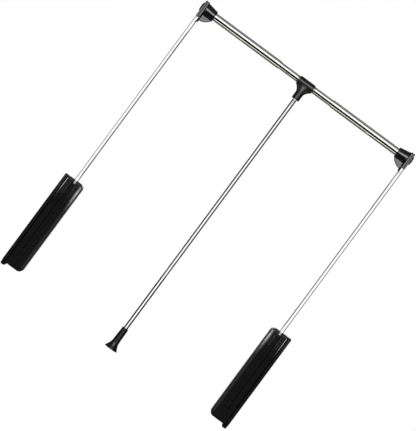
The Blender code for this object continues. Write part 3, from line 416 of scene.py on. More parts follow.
def lofted(rings, closed=False):
    """A skin over rings of points, closed to a loop or capped at both ends."""
    bm = bmesh.new()
    rows = [[bm.verts.new(point) for point in ring] for ring in rings]
    pairs = list(zip(rows, rows[1:]))
    if closed:
        pairs.append((rows[-1], rows[0]))
    count = len(rows[0])
    for row, following in pairs:
        for index in range(count):
            after = (index + 1) % count
            bm.faces.new((row[index], row[after], following[after], following[index]))
    if not closed:
        bm.faces.new(rows[0])
        bm.faces.new(rows[-1])
    return shape_from(bm)


def at_x(x, outline):
    """The (y, z) points of an outline, at one place along X."""
    return [(x, y, z) for y, z in outline]


def swept(path, radius, sides, closed):
    """A round bar along a path of points, each with the direction that its section starts from."""
    last = len(path) - 1
    rings = []
    for index, (point, normal) in enumerate(path):
        before = path[index - 1][0] if closed or index > 0 else point
        after = path[(index + 1) % len(path)][0] if closed or index < last else point
        tangent = (after - before).normalized()
        across = tangent.cross(normal).normalized()
        out = across.cross(tangent)
        rings.append([point + radius * (u * out + v * across) for u, v in oval(CIRCLE, sides)])
    return lofted(rings, closed)


def arc(centre, radius, start, end, steps):
    """Points on a circular arc, from the start angle to the end angle."""
    angles = [start + (end - start) * step / steps for step in range(steps + 1)]
    return [(centre[0] + radius * math.cos(angle), centre[1] + radius * math.sin(angle)) for angle in angles]


def quarter(radius, steps):
    """A rounded edge as (depth, inset) pairs, from the full inset to the full depth."""
    angles = [math.pi / 2 * step / steps for step in range(steps + 1)]
    return [(radius * (1.0 - math.cos(angle)), radius * (1.0 - math.sin(angle))) for angle in angles]


def oval(fullness, count):
    """Points round a unit oval: a circle at fullness 2, and narrowed to ridges below that."""
    points = []
    for index in range(count):
        angle = 2 * math.pi * index / count
        pair = (math.cos(angle), math.sin(angle))
        points.append([math.copysign(abs(value) ** (2 / fullness), value) for value in pair])
    return points


def softened(corners):
    """A line through (radius, distance) corners, where a third number rounds the corner to an arc."""
    points = [corners[0]]
    for before, corner, after in zip(corners, corners[1:], corners[2:]):
        if len(corner) == 2:
            points.append(corner)
            continue
        here = Vector(corner[:2])
        rounding = corner[2]
        into = (Vector(before[:2]) - here).normalized()
        away = (Vector(after[:2]) - here).normalized()
        half = into.angle(away) / 2
        reach = rounding / math.tan(half)
        centre = here + (into + away).normalized() * rounding / math.sin(half)
        first = here + into * reach - centre
        last = here + away * reach - centre
        for step in range(SOFT_STEPS + 1):
            spoke = first.slerp(last, step / SOFT_STEPS).normalized()
            points.append(tuple(centre + rounding * spoke))
    points.append(corners[-1])
    return points


def round_rectangle(low, high, foot_round, top_round, inset=0.0):
    """Outline between two corners, with rounded foot and top corners, drawn in by an inset."""
    corners = (
        (high[0] - top_round, high[1] - top_round, top_round),
        (low[0] + top_round, high[1] - top_round, top_round),
        (low[0] + foot_round, low[1] + foot_round, foot_round),
        (high[0] - foot_round, low[1] + foot_round, foot_round),
    )
    points = []
    for index, (across, up, rounding) in enumerate(corners):
        start = index * math.pi / 2
        points += arc((across, up), max(rounding - inset, MERGE), start, start + math.pi / 2, CORNER_STEPS)
    return points


# Housing pieces

def housing_ring(x, inset):
    """Side outline of a housing at one place along X, drawn in by an inset."""
    low = (HOUSING_FRONT + inset, COVER_BOTTOM + inset)
    high = (HOUSING_BACK - inset, HOUSING_TOP - inset)
    share = max(1.0 - inset / HOUSING_ROUND, MERGE)
    return at_x(x, round_rectangle(low, high, HOUSING_ROUND * share, HOUSING_TOP_ROUND * share))


def plate_tab():
    """The tab under the cover, with the root that ties it to the plate."""
    front = HOUSING_FRONT + HOUSING_ROUND
    back = HOUSING_BACK - HOUSING_ROUND
    low = (0.0, TAB_BOTTOM)
    high = (TAB_DEPTH, COVER_BOTTOM - GAP)
    front_rings = []
    back_rings = []
    for depth, inset in quarter(TAB_EDGE, EDGE_STEPS):
        outline = round_rectangle(low, high, TAB_ROUND, TAB_TOP_ROUND, inset)
        front_rings.append([(x, front + depth, z) for x, z in outline])
        back_rings.append([(x, back - depth, z) for x, z in outline])
    root = block(
        (TAB_ROOT_INSET, front + TAB_ROUND, COVER_BOTTOM - TAB_ROUND),
        (RIM_DEPTH - OVERLAP, back - TAB_ROUND, COVER_BOTTOM + RIM_WALL / 2),
    )
    return join(lofted(front_rings + back_rings[::-1]), root)


def wall_plate():
    """Tray that is screwed to the wardrobe's side, with moulded pockets in its wall face."""
    third = RIM_ROUND / 3
    steps = both_ends([(RIM_ROUND, 0.0), (third, third), (0.0, RIM_ROUND)], RIM_DEPTH)
    plate = lofted([housing_ring(x, inset) for inset, x in steps])
    cut(plate, lofted([housing_ring(x, RIM_WALL) for x in (PLATE_WALL, RIM_DEPTH + OVERLAP)]))
    sunk = PLATE_WALL - OVERLAP
    pivot_boss = cylinder(PIVOT_BOSS_RADIUS, "X", (sunk, 0.0, 0.0), PLATE_BOSS_TIP - sunk)
    post = block(
        (sunk, POST_FRONT, BUMPER_HEIGHT),
        (ARM_INSET + BUMPER_SIZE / 2, POST_FRONT + POST_DEPTH, BUMPER_HEIGHT + BUMPER_SIZE),
    )
    join(plate, plate_tab(), pivot_boss, post)
    for height in COVER_SCREW_HEIGHTS.values():
        join(plate, cylinder(COVER_SCREW_BOSS, "X", (sunk, COVER_SCREW_Y, height), COVER_SCREW_SPLIT - sunk))
    cut_plate_holes(plate)
    return plate


def cut_plate_holes(plate):
    """Holes for the pin, screws and bumper, and the pockets in the wall face."""
    pin_depth = PLATE_BOSS_TIP - PIVOT_BLIND_WALL + OVERLAP
    drill(plate, PIVOT_PIN_RADIUS + GAP, "X", (PIVOT_BLIND_WALL, 0.0, 0.0), pin_depth, BORE_SIDES)
    bite = COVER_SCREW_SPLIT - COVER_SCREW_BITE - GAP
    bite_depth = COVER_SCREW_BITE + GAP + OVERLAP
    for height in COVER_SCREW_HEIGHTS.values():
        drill(plate, COVER_SCREW_SHANK + GAP, "X", (bite, COVER_SCREW_Y, height), bite_depth)
    for place in ANCHOR_SCREW_PLACES:
        drill(plate, ANCHOR_SCREW_BORE, "X", (ANCHOR_SCREW_BLIND, *place), PLATE_WALL)
    past = PLATE_WALL + OVERLAP
    sink = [(0.0, -OVERLAP), (WALL_SCREW_RADIUS, -OVERLAP), (WALL_SCREW_RADIUS, PLATE_WALL / 3)]
    sink += [(WALL_SCREW_SINK, PLATE_WALL), (WALL_SCREW_SINK, past), (0.0, past)]
    for place in WALL_SCREW_PLACES:
        cut(plate, turned(sink, "X", (0.0, *place), SCREW_SIDES))
    stem_hole = (ARM_INSET, POST_FRONT - OVERLAP, BUMPER_HEIGHT + BUMPER_SIZE / 2)
    drill(plate, BUMPER_STEM + GAP, "Y", stem_hole, BUMPER_STEM_LENGTH + GAP + OVERLAP)
    for low, high in POCKETS:
        outline = round_rectangle(low, high, POCKET_ROUND, POCKET_ROUND)
        cut(plate, lofted([at_x(x, outline) for x in (-OVERLAP, POCKET_DEPTH)]))


def bend_rings(inset):
    """Rings of the cover's rounded free side, drawn in by an inset."""
    bend = quarter(HOUSING_ROUND - inset, CORNER_STEPS)
    return [housing_ring(HOUSING_WIDTH - inset - short, inset + depth) for depth, short in bend]


def cover_outside():
    """Solid form of the cover, rounded at the wall plate and round its free side."""
    edge = quarter(EDGE_ROUND, CORNER_STEPS)
    rings = [housing_ring(COVER_EDGE + depth, inset) for depth, inset in edge]
    return lofted(rings + bend_rings(0.0))


def cover_cavity():
    """Hollow of the cover, narrower behind its rounded edge."""
    thick = EDGE_ROUND + COVER_WALL
    inner = COVER_EDGE + EDGE_ROUND
    steps = ((COVER_EDGE - OVERLAP, thick), (inner, thick), (inner + EDGE_ROUND, COVER_WALL))
    return lofted([housing_ring(*step) for step in steps] + bend_rings(COVER_WALL))


def lip_path():
    """Line round the swing slot: up the front, over the edge, round the back and down again."""
    front = HOUSING_FRONT + LIP_SINK
    top = HOUSING_TOP - LIP_SINK
    foot = (LIP_CORNER - LIP_PLACE, SLOT_BOTTOM - LIP_PLACE + SLOT_HALF + LIP_CORNER)
    rise = arc(foot, LIP_CORNER, -math.pi / 2, -math.pi, EDGE_STEPS)
    half = [(Vector((x, front, z)), FORWARD) for x, z in rise]
    bend = Vector((-LIP_PLACE, HOUSING_FRONT + HOUSING_TOP_ROUND, HOUSING_TOP - HOUSING_TOP_ROUND))
    for y, z in arc((0.0, 0.0), 1.0, math.pi, math.pi / 2, CORNER_STEPS):
        out = Vector((0.0, y, z))
        half.append((bend + (HOUSING_TOP_ROUND - LIP_SINK) * out, out))
    back = arc((0.0, 0.0), LIP_PLACE, math.pi, math.pi / 2, LIP_BACK_STEPS)
    half += [(Vector((x, y, top)), UP) for x, y in back]
    other = [(Vector((-point.x, point.y, point.z)), out) for point, out in reversed(half[:-1])]
    return [(point + Vector((ARM_INSET, 0.0, 0.0)), out) for point, out in half + other]


def cover():
    """Moulded shell over the mechanism, with the swing slot and its lip."""
    shell = cover_outside()
    join(shell, swept(lip_path(), LIP_RADIUS, LIP_SIDES, True))
    cut(shell, cover_cavity())
    boss_length = COVER_INSIDE + OVERLAP - COVER_BOSS_START
    join(shell, cylinder(PIVOT_BOSS_RADIUS, "X", (COVER_BOSS_START, 0.0, 0.0), boss_length))
    pin_hole = (COVER_BOSS_START - OVERLAP, 0.0, 0.0)
    pin_depth = COVER_INSIDE - COVER_BOSS_START + OVERLAP
    drill(shell, PIVOT_PIN_RADIUS + GAP, "X", pin_hole, pin_depth, BORE_SIDES)
    slot = block(
        (ARM_INSET - SLOT_HALF, HOUSING_FRONT - 3 * OVERLAP, SLOT_BOTTOM),
        (ARM_INSET + SLOT_HALF, 0.0, HOUSING_TOP + 3 * OVERLAP),
    )
    slot_end = (ARM_INSET, 0.0, HOUSING_TOP - COVER_WALL - OVERLAP)
    cut(shell, slot, cylinder(SLOT_HALF, "Z", slot_end, COVER_WALL + 4 * OVERLAP))
    for height in COVER_SCREW_HEIGHTS.values():
        add_cover_screw_seat(shell, height)
    return shell


def add_cover_screw_seat(shell, height):
    """Boss with a bore for a cover screw, and the sink for its head."""
    start = COVER_SCREW_SPLIT + GAP
    boss_length = COVER_INSIDE + OVERLAP - start
    join(shell, cylinder(COVER_SCREW_BOSS, "X", (start, COVER_SCREW_Y, height), boss_length))
    drill(shell, COVER_SCREW_SHANK + GAP, "X", (start - OVERLAP, COVER_SCREW_Y, height), HOUSING_WIDTH)
    seat = HOUSING_WIDTH - COVER_SCREW_SINK - COVER_SCREW_HEAD_DEPTH - GAP
    drill(shell, COVER_SCREW_HEAD + GAP, "X", (seat, COVER_SCREW_Y, height), HOUSING_WIDTH - seat + OVERLAP)


def cross_screw(tip, shank, head_start, head, head_top, axis, at):
    """Pan-head screw with a cross recess, from its tip to the top of its head."""
    crown = (head_top - head_start) / 2
    profile = softened([
        (0.0, tip),
        (shank * SCREW_TIP, tip),
        (shank, tip + shank * SCREW_TAPER),
        (shank, head_start),
        (head, head_start),
        (head, head_top, crown),
        (0.0, head_top),
    ])
    screw = turned(profile, axis, at, SCREW_SIDES)
    long = head * CROSS_LONG
    short = head * CROSS_SHORT
    for x, y in ((long, short), (short, long)):
        slot = block((-x, -y, head_top - crown), (x, y, head_top + OVERLAP))
        slot.data.transform(Matrix.Translation(at) @ AXIS_TURNS[axis])
        cut(screw, slot)
    return screw


def cover_screw(height):
    """Long screw from the cover into one of the plate's bosses."""
    tip = COVER_SCREW_SPLIT - COVER_SCREW_BITE
    head_top = HOUSING_WIDTH - COVER_SCREW_SINK
    head_start = head_top - COVER_SCREW_HEAD_DEPTH
    place = (0.0, COVER_SCREW_Y, height)
    return cross_screw(tip, COVER_SCREW_SHANK, head_start, COVER_SCREW_HEAD, head_top, "X", place)


def swing_lever():
    """Cast lever: hub on the pivot, bar in the slot, spigot in the arm and crank ear behind."""
    half = LEVER_WIDTH / 2
    low = ARM_INSET - half
    high = low + LEVER_WIDTH
    lever = cylinder(HUB_RADIUS, "X", (low, 0.0, 0.0), LEVER_WIDTH)
    ear = block((low, 0.0, -EAR_RADIUS), (high, CRANK_RADIUS, EAR_RADIUS))
    ear.data.transform(Matrix.Rotation(-CRANK_TILT, 4, "X"))
    ear_end = cylinder(EAR_RADIUS, "X", (low, *CRANK_PLACE), LEVER_WIDTH)
    bar = block((low, -half, 0.0), (high, half, LEVER_TOP))
    spigot = cylinder(SPIGOT_RADIUS, "Z", (ARM_INSET, 0.0, LEVER_TOP - OVERLAP), SPIGOT_LENGTH + OVERLAP)
    toe_low = (low, -LEVER_TOE_FRONT, -LEVER_TOE_DROP)
    toe = block(toe_low, (high, -half, HUB_RADIUS), LEVER_TOE_ROUND, LEVER_TOE_STEPS)
    join(lever, ear, ear_end, bar, toe, spigot)
    through = LEVER_WIDTH + 2 * OVERLAP
    drill(lever, HUB_BORE, "X", (low - OVERLAP, 0.0, 0.0), through, BORE_SIDES)
    drill(lever, EAR_BORE, "X", (low - OVERLAP, *CRANK_PLACE), through, BORE_SIDES)
    foot, top = LEVER_POCKET
    for x in (low - LEVER_POCKET_DEPTH, high - LEVER_POCKET_DEPTH):
        pocket_low = (x, -LEVER_POCKET_HALF, foot)
        pocket_high = (x + 2 * LEVER_POCKET_DEPTH, LEVER_POCKET_HALF, top)
        cut(lever, block(pocket_low, pocket_high, LEVER_POCKET_ROUND, LEVER_POCKET_STEPS))
    return lever


def spring():
    """Coil compression spring round the damper, one unbroken wire."""
    low = SPRING_LOW + SPRING_WIRE
    high = SPRING_HIGH - SPRING_WIRE
    closed = 2 * SPRING_WIRE + SPRING_END_GAP
    open_turns = SPRING_TURNS - 2
    pitch = (high - low - 2 * closed) / open_turns
    path = []
    for step in range(SPRING_TURNS * SPRING_CURL_POINTS + 1):
        turn = step / SPRING_CURL_POINTS
        rise = min(turn, 1.0) * closed
        rise += min(max(turn - 1.0, 0.0), open_turns) * pitch
        rise += max(turn - 1.0 - open_turns, 0.0) * closed
        out = Vector((math.cos(2 * math.pi * turn), math.sin(2 * math.pi * turn), 0.0))
        path.append((Vector((ARM_INSET, SPRING_Y, low + rise)) + SPRING_RADIUS * out, out))
    return swept(path, SPRING_WIRE, SPRING_WIRE_SIDES, False)


# Arm's screws, corner bracket and rail

def arm_screw(height):
    """Screw through the back of the arm into one of its spigots."""
    head_start = ARM_RADIUS - GAP
    head_top = head_start + ARM_SCREW_HEAD_DEPTH + 2 * GAP
    place = (ARM_INSET, 0.0, height)
    return cross_screw(ARM_SCREW_TIP, ARM_SCREW_SHANK, head_start, ARM_SCREW_HEAD, head_top, "Y", place)


def head_ring(x, inset):
    """Side outline of the bracket's slab at one place along X, drawn in by an inset."""
    low = (-HEAD_HALF_DEPTH + inset, LEG_BOTTOM + inset)
    high = (HEAD_HALF_DEPTH - inset, RAIL_HEIGHT + HEAD_TOP - inset)
    foot = max(HEAD_FOOT_ROUND - inset, HEAD_LEAST_ROUND)
    top = max(HEAD_ROUND - inset, HEAD_LEAST_ROUND)
    return at_x(x, round_rectangle(low, high, foot, top))


def corner_head():
    """Upright slab of the bracket, with a groove between two ribs and a bevel towards the rail."""
    # Places along X from the arm's axis, and insets
    outer_rib = ((-HEAD_OUT, 0.0014), (-0.0049, 0.0005), (-0.0042, 0.0), (-0.0017, 0.0))
    groove = ((-0.0013, 0.0003), (-0.0006, 0.0018), (0.0001, 0.0018), (0.0008, 0.0003))
    inner_rib = ((0.0012, 0.0), (0.0041, 0.0))
    bevel = ((0.0046, 0.0002), (HEAD_IN, 0.0042))
    steps = outer_rib + groove + inner_rib + bevel
    return lofted([head_ring(ARM_INSET + x, inset) for x, inset in steps])


def circle_ring(x, radius, rise):
    """Points of a circle round the rail's direction, raised from the rail's axis."""
    return [(x, radius * y, RAIL_HEIGHT + rise + radius * z) for y, z in oval(CIRCLE, ROUND_SIDES)]


def corner_collar():
    """Tapered collar that takes the rail tube, with a rounded mouth."""
    end = ARM_INSET + COLLAR_REACH
    rings = [circle_ring(ARM_INSET + HEAD_IN - 2 * OVERLAP, COLLAR_ROOT, COLLAR_RISE_ROOT)]
    for draw, short in quarter(COLLAR_LIP, EDGE_STEPS):
        rings.append(circle_ring(end - short, COLLAR_MOUTH - draw, -COLLAR_SINK_MOUTH))
    return lofted(rings)


def gusset_ring(y, inset):
    """Outline of the web under the collar at one depth, drawn in along its curved edge."""
    inside = ARM_INSET + HEAD_IN
    reach = COLLAR_REACH - HEAD_IN - COLLAR_LIP - inset
    top = RAIL_HEIGHT - GUSSET_TOP
    drop = GUSSET_DROP - GUSSET_TOP
    edge = oval(GUSSET_FULLNESS, 4 * GUSSET_STEPS)[:GUSSET_STEPS + 1]
    outline = [(inside + reach * across, top - (drop - inset) * down) for across, down in edge]
    outline.append((inside - 2 * OVERLAP, outline[-1][1]))
    outline.append((inside - 2 * OVERLAP, RAIL_HEIGHT - OUTER_TUBE_RADIUS))
    outline.append((inside + reach, RAIL_HEIGHT - OUTER_TUBE_RADIUS))
    return [(x, y * (1.0 - GUSSET_LEAN * (z - top + drop / 2) / drop), z) for x, z in outline]


def corner_gusset():
    """Rounded web under the collar, with a soft border."""
    steps = [(GUSSET_HALF_DEPTH - draw, inset) for draw, inset in quarter(GUSSET_BORDER, EDGE_STEPS)]
    front = [gusset_ring(-depth, inset) for depth, inset in steps]
    back = [gusset_ring(depth, inset) for depth, inset in reversed(steps)]
    return lofted(front + back)


def corner_bracket():
    """Moulded elbow: slab, fin and spigot for the arm, collar and gusset for the rail."""
    slope = FIN_HIGH - FIN_LOW
    edge = [(FIN_LOW, -FIN_HALF_DEPTH), (FIN_HIGH, slope - FIN_HALF_DEPTH)]
    fin_outline = both_ends(edge, 0.0)
    fin_ends = (RAIL_HEIGHT - FIN_DROP, RAIL_HEIGHT - HEAD_TOP + 2 * OVERLAP)
    fin = lofted([[(x, y, z) for x, y in fin_outline] for z in fin_ends])
    spigot_foot = (ARM_INSET, 0.0, LEG_BOTTOM - SPIGOT_LENGTH)
    spigot = cylinder(SPIGOT_RADIUS, "Z", spigot_foot, SPIGOT_LENGTH + OVERLAP)
    bracket = join(corner_head(), fin, corner_collar(), corner_gusset(), spigot)
    drill(bracket, COLLAR_BORE, "X", (TUBE_STOP, 0.0, RAIL_HEIGHT), COLLAR_REACH, TUBE_SIDES)
    clamp_hole = (CLAMP_SCREW_PLACE, OUTER_TUBE_RADIUS, RAIL_HEIGHT)
    return drill(bracket, GRUB_RADIUS + GAP, "Y", clamp_hole, OUTER_TUBE_RADIUS)


def rail_cap():
    """Low round cap on the elbow's outer face."""
    seat = ARM_INSET - HEAD_OUT
    face = seat - CAP_PROUD
    profile = softened([
        (0.0, face),
        (CAP_FLAT_RADIUS, face, CAP_ROUND),
        (CAP_RADIUS, seat - CAP_RIM),
        (CAP_RADIUS, seat),
        (CAP_STEM_RADIUS, seat),
        (CAP_STEM_RADIUS, seat + GAP),
        (0.0, seat + GAP),
    ])
    return turned(profile, "X", (0.0, 0.0, RAIL_HEIGHT + CAP_RAISE))


def grub_screw(length, at):
    """Grub screw with a hexagon socket, set into a part from behind."""
    screw = cylinder(GRUB_RADIUS, "Y", at, length, SCREW_SIDES, GRUB_RADIUS * GRUB_CHAMFER)
    socket = (at[0], at[1] + length / 2, at[2])
    return drill(screw, GRUB_RADIUS * GRUB_SOCKET, "Y", socket, length, GRUB_SOCKET_SIDES)


def rail_tube(radius, bore, start, end):
    """Tube along the rail, from one place to another."""
    return tube(radius, bore, "X", (start, 0.0, RAIL_HEIGHT), end - start)


# Tee and grip

def tee_ring(half_width, half_depth, drop, fullness=CIRCLE):
    """Points of an oval round the tee's neck, at a drop below the rail's axis."""
    around = oval(fullness, ROUND_SIDES)
    return [(MIDDLE + half_width * x, half_depth * y, RAIL_HEIGHT - drop) for x, y in around]


def tee_flare():
    """Hollow-cheeked flare from the sleeve down to the neck, with a rounded foot."""
    spread = TEE_FLARE_HALF - TEE_NECK_RADIUS
    deepen = TEE_FLARE_DEPTH - TEE_NECK_RADIUS
    fall = TEE_NECK_TOP - TEE_FLARE_TOP
    rings = [
        tee_ring(TEE_SHOULDER_HALF, TEE_FLARE_DEPTH, TEE_SHOULDER, TEE_FLARE_FULLNESS),
        tee_ring(TEE_FLARE_HALF, TEE_FLARE_DEPTH, TEE_FLARE_TOP - TEE_FLARE_RIM, TEE_FLARE_FULLNESS),
    ]
    for step in range(TEE_FLARE_STEPS + 1):
        left = 1.0 - step / TEE_FLARE_STEPS
        share = left ** TEE_FLARE_CURVE
        drop = TEE_NECK_TOP - fall * left
        fullness = CIRCLE - (CIRCLE - TEE_FLARE_FULLNESS) * left
        width = TEE_NECK_RADIUS + spread * share
        rings.append(tee_ring(width, TEE_NECK_RADIUS + deepen * share, drop, fullness))
    for draw, short in quarter(TEE_FOOT_ROUND, SOFT_STEPS):
        radius = TEE_NECK_RADIUS - draw
        rings.append(tee_ring(radius, radius, TEE_BOTTOM - short))
    return lofted(rings)


def tee_bracket():
    """Moulded tee: sleeve on the rail, flare and neck for the pull rod."""
    profile = softened([
        (0.0, -TEE_SLEEVE_HALF),
        (TEE_SLEEVE_RADIUS, -TEE_SLEEVE_HALF, TEE_SLEEVE_ROUND),
        (TEE_SLEEVE_RADIUS, TEE_SLEEVE_HALF, TEE_SLEEVE_ROUND),
        (0.0, TEE_SLEEVE_HALF),
    ])
    tee = turned(profile, "X", (MIDDLE, 0.0, RAIL_HEIGHT))
    join(tee, tee_flare())
    bore = (MIDDLE - TEE_FLARE_HALF - OVERLAP, 0.0, RAIL_HEIGHT)
    drill(tee, TEE_SLEEVE_BORE, "X", bore, 2 * (TEE_FLARE_HALF + OVERLAP), ROUND_SIDES)
    socket = (MIDDLE, 0.0, RAIL_HEIGHT - TEE_BOTTOM - OVERLAP)
    drill(tee, ROD_SOCKET, "Z", socket, TEE_BOTTOM + OVERLAP - TEE_SOCKET_TOP, BORE_SIDES)
    screw_hole = (MIDDLE, HANDLE_ROD_RADIUS, RAIL_HEIGHT - TEE_SCREW_PLACE)
    return drill(tee, GRUB_RADIUS + GAP, "Y", screw_hole, TEE_NECK_RADIUS)


def handle_grip():
    """Moulded grip that flares to a flat foot."""
    spread = GRIP_END_RADIUS - GRIP_WAIST_RADIUS
    fall = GRIP_LENGTH - GRIP_WAIST_DROP - GRIP_END_EDGE
    flare = []
    for step in range(GRIP_FLARE_STEPS + 1):
        share = step / GRIP_FLARE_STEPS
        radius = GRIP_WAIST_RADIUS + spread * share ** GRIP_FLARE_CURVE
        flare.append((radius, -GRIP_WAIST_DROP - fall * share))
    profile = softened([
        (0.0, -GRIP_SOCKET),
        (ROD_SOCKET, -GRIP_SOCKET),
        (ROD_SOCKET, 0.0, GRIP_SOCKET_ROUND),
        (GRIP_TOP_RADIUS, 0.0, GRIP_ROUND),
        *flare,
        (GRIP_END_RADIUS, -GRIP_LENGTH, GRIP_ROUND),
        (0.0, -GRIP_LENGTH),
    ])
    return turned(profile, "Z", (MIDDLE, 0.0, GRIP_TOP), TUBE_SIDES)


# Materials

NOISE_RANGE = (0.3, 0.7)
CLOUD_DETAIL = 5.0
POLISH_DETAIL = 4.0
BUMP_DETAIL = 2.0
TARNISH_SCALE = 38.0
METAL_POLISH_SCALE = 140.0
LINE_STRENGTH = 0.12
LINE_DEPTH = 0.00004
FLOW_SCALE = 55.0
PLASTIC_POLISH_SCALE = 210.0
GRAIN_STRENGTH = 0.25
WORN_EDGE = (0.53, 0.62)
WORN_SHARE = 0.5
WORN_LIGHTER = 3.0
GROUND_ROUGHNESS = 0.55
# Painted shade on the rail slide beside the tee: half length of the dimmed band, and the share of its
# brightness that the band keeps
TEE_SHADE_HALF = 0.028
TEE_SHADE_SHARE = 0.5
EVEN = (1.0, 1.0, 1.0)
ALONG_X = (0.04, 1.0, 1.0)
ALONG_Z = (1.0, 1.0, 0.04)

# Dull and bright colour, roughness range, stretch and scale of the drawing lines, and if it has one
# the height of a ground foot or the half length of the band of painted shade beside the tee
RAIL_CHROME = ((0.86, 0.86, 0.84), (0.93, 0.93, 0.91), (0.04, 0.08), ALONG_X, 2600.0)
METALS = {
    "rail_chrome": RAIL_CHROME,
    # The slide's chrome carries a band of painted shade beside the tee
    "slide_chrome": (*RAIL_CHROME, None, TEE_SHADE_HALF),
    "arm_chrome": ((0.88, 0.88, 0.87), (0.95, 0.95, 0.94), (0.06, 0.11), ALONG_Z, 2600.0, HOUSING_TOP),
    "rod_chrome": ((0.74, 0.74, 0.73), (0.84, 0.84, 0.83), (0.08, 0.14), ALONG_Z, 2600.0),
    "steel": ((0.40, 0.40, 0.41), (0.56, 0.56, 0.55), (0.28, 0.42), EVEN, 1800.0),
}

# Dark and light colour, roughness range, scale and depth of the grain, and specular level
PLASTICS = {
    "cast_black": ((0.0035, 0.0035, 0.004), (0.006, 0.006, 0.0065), (0.30, 0.40), 900.0, 0.00005, 0.22),
    "black_gloss": ((0.003, 0.003, 0.0035), (0.005, 0.005, 0.0055), (0.07, 0.13), 1500.0, 0.00001, 0.5),
    "black_satin": ((0.003, 0.003, 0.003), (0.005, 0.005, 0.005), (0.27, 0.34), 1300.0, 0.00003, 0.30),
    "dark_nylon": ((0.010, 0.010, 0.010), (0.016, 0.016, 0.016), (0.42, 0.55), 1200.0, 0.00004, 0.4),
    "rubber": ((0.020, 0.020, 0.020), (0.034, 0.034, 0.034), (0.75, 0.90), 1100.0, 0.0001, 0.3),
}


def feed(tree, node, inputs):
    """Give a node's inputs their values, or links from other nodes' sockets."""
    for name, value in inputs.items():
        if isinstance(value, bpy.types.NodeSocket):
            tree.links.new(value, node.inputs[name])
        else:
            node.inputs[name].default_value = value


def add_node(tree, kind, inputs, output=0, **settings):
    """Add a shader node with its settings and inputs, and give the socket of its output."""
    node = tree.nodes.new("ShaderNode" + kind)
    for name, value in settings.items():
        setattr(node, name, value)
    feed(tree, node, inputs)
    return node.outputs[output]


def own_place(tree):
    """The piece's own coordinates."""
    return add_node(tree, "TexCoord", {}, "Object")


def place_along(tree, axis):
    """One of the piece's own coordinates."""
    return add_node(tree, "SeparateXYZ", {"Vector": own_place(tree)}, axis)


def grain(tree, scale, detail, stretch=EVEN):
    """Noise in the piece's own coordinates, stretched along its axes."""
    place = add_node(tree, "Mapping", {"Vector": own_place(tree), "Scale": stretch})
    return add_node(tree, "TexNoise", {"Vector": place, "Scale": scale, "Detail": detail}, "Fac")


def clouded(tree, scale, low, high, detail=CLOUD_DETAIL):
    """Colours that drift between low and high."""
    colours = add_node(tree, "ValToRGB", {"Fac": grain(tree, scale, detail)}, "Color")
    for stop, position, colour in zip(colours.node.color_ramp.elements, NOISE_RANGE, (low, high)):
        stop.position = position
        stop.color = (*colour, 1.0)
    return colours


def ranged(tree, value, start, end, low, high):
    """A number that goes from low to high while a value goes from start to end."""
    inputs = {"Value": value, "From Min": start, "From Max": end, "To Min": low, "To Max": high}
    return add_node(tree, "MapRange", inputs)


def uneven(tree, scale, rough):
    """Roughness that drifts over a range."""
    return ranged(tree, grain(tree, scale, POLISH_DETAIL), *NOISE_RANGE, *rough)


def combined(tree, operation, first, second=0.0):
    """The result of a sum on one or two numbers."""
    return add_node(tree, "Math", {0: first, 1: second}, operation=operation)


def shaded_beside_tee(tree, colour, half):
    """A colour that is dimmer in a band in the middle of the rail: painted shade, standing in for the tee's
    shadow and dark reflection on the chrome beside it.
    """
    away = combined(tree, "SUBTRACT", place_along(tree, "X"), MIDDLE)
    distance = combined(tree, "ABSOLUTE", away)
    share = ranged(tree, distance, half, half + MERGE, TEE_SHADE_SHARE, 1.0)
    return add_node(tree, "VectorMath", {"Vector": colour, "Scale": share}, operation="SCALE")


def bumps(tree, scale, stretch, strength, depth):
    """Normals of fine bumps on a surface."""
    height = grain(tree, scale, BUMP_DETAIL, stretch)
    return add_node(tree, "Bump", {"Height": height, "Strength": strength, "Distance": depth})


def new_material(name):
    """A material with a Principled shader; gives the material, its tree and the shader."""
    material = bpy.data.materials.new(name)
    material.use_nodes = True
    tree = material.node_tree
    return material, tree, tree.nodes["Principled BSDF"]


def metal(name, dull, bright, rough, lines, line_scale, ground_below=None, tee_shade_half=None):
    """Plated or bare metal with faint tarnish, uneven polish and drawing lines, and on the slide a band of
    painted shade beside the tee.
    """
    material, tree, shader = new_material(name)
    colour = clouded(tree, TARNISH_SCALE, dull, bright)
    # Painted shade: the chrome beside the tee is dimmed to stand in for the tee's shadow and dark reflection
    # on it
    if tee_shade_half is not None:
        colour = shaded_beside_tee(tree, colour, tee_shade_half)
    polish = uneven(tree, METAL_POLISH_SCALE, rough)
    if ground_below is not None:
        place = place_along(tree, "Z")
        polish = ranged(tree, place, ground_below, ground_below + MERGE, GROUND_ROUGHNESS, polish)
    normal = bumps(tree, line_scale, lines, LINE_STRENGTH, LINE_DEPTH)
    feed(tree, shader, {"Metallic": 1.0, "Base Color": colour, "Roughness": polish, "Normal": normal})
    return material


def plastic(name, dark, light, rough, grain_scale, grain_depth, specular):
    """Moulded plastic with slight flow clouding, uneven gloss, fine grain and worn edges."""
    material, tree, shader = new_material(name)
    flow = clouded(tree, FLOW_SCALE, dark, light)
    edges = add_node(tree, "NewGeometry", {}, "Pointiness")
    wear = ranged(tree, edges, *WORN_EDGE, 0.0, WORN_SHARE)
    worn = (*[WORN_LIGHTER * value for value in light], 1.0)
    colours = {"Factor": wear, "A": flow, "B": worn}
    colour = add_node(tree, "Mix", colours, "Result", data_type="RGBA")
    gloss = uneven(tree, PLASTIC_POLISH_SCALE, rough)
    normal = bumps(tree, grain_scale, EVEN, GRAIN_STRENGTH, grain_depth)
    looks = {"Specular IOR Level": specular, "Base Color": colour, "Roughness": gloss, "Normal": normal}
    feed(tree, shader, looks)
    return material


MATERIALS = {name: metal(name, *looks) for name, looks in METALS.items()}
MATERIALS.update({name: plastic(name, *looks) for name, looks in PLASTICS.items()})


# Putting the pieces on their bodies

BODY_OF = {
    node: body
    for body, nodes in frame["record"]["behaviour"]["bodies"].items()
    for node in nodes
}
SLOT_OF = {row["node"]: row["material_slot"] for row in frame["record"]["subparts"]}


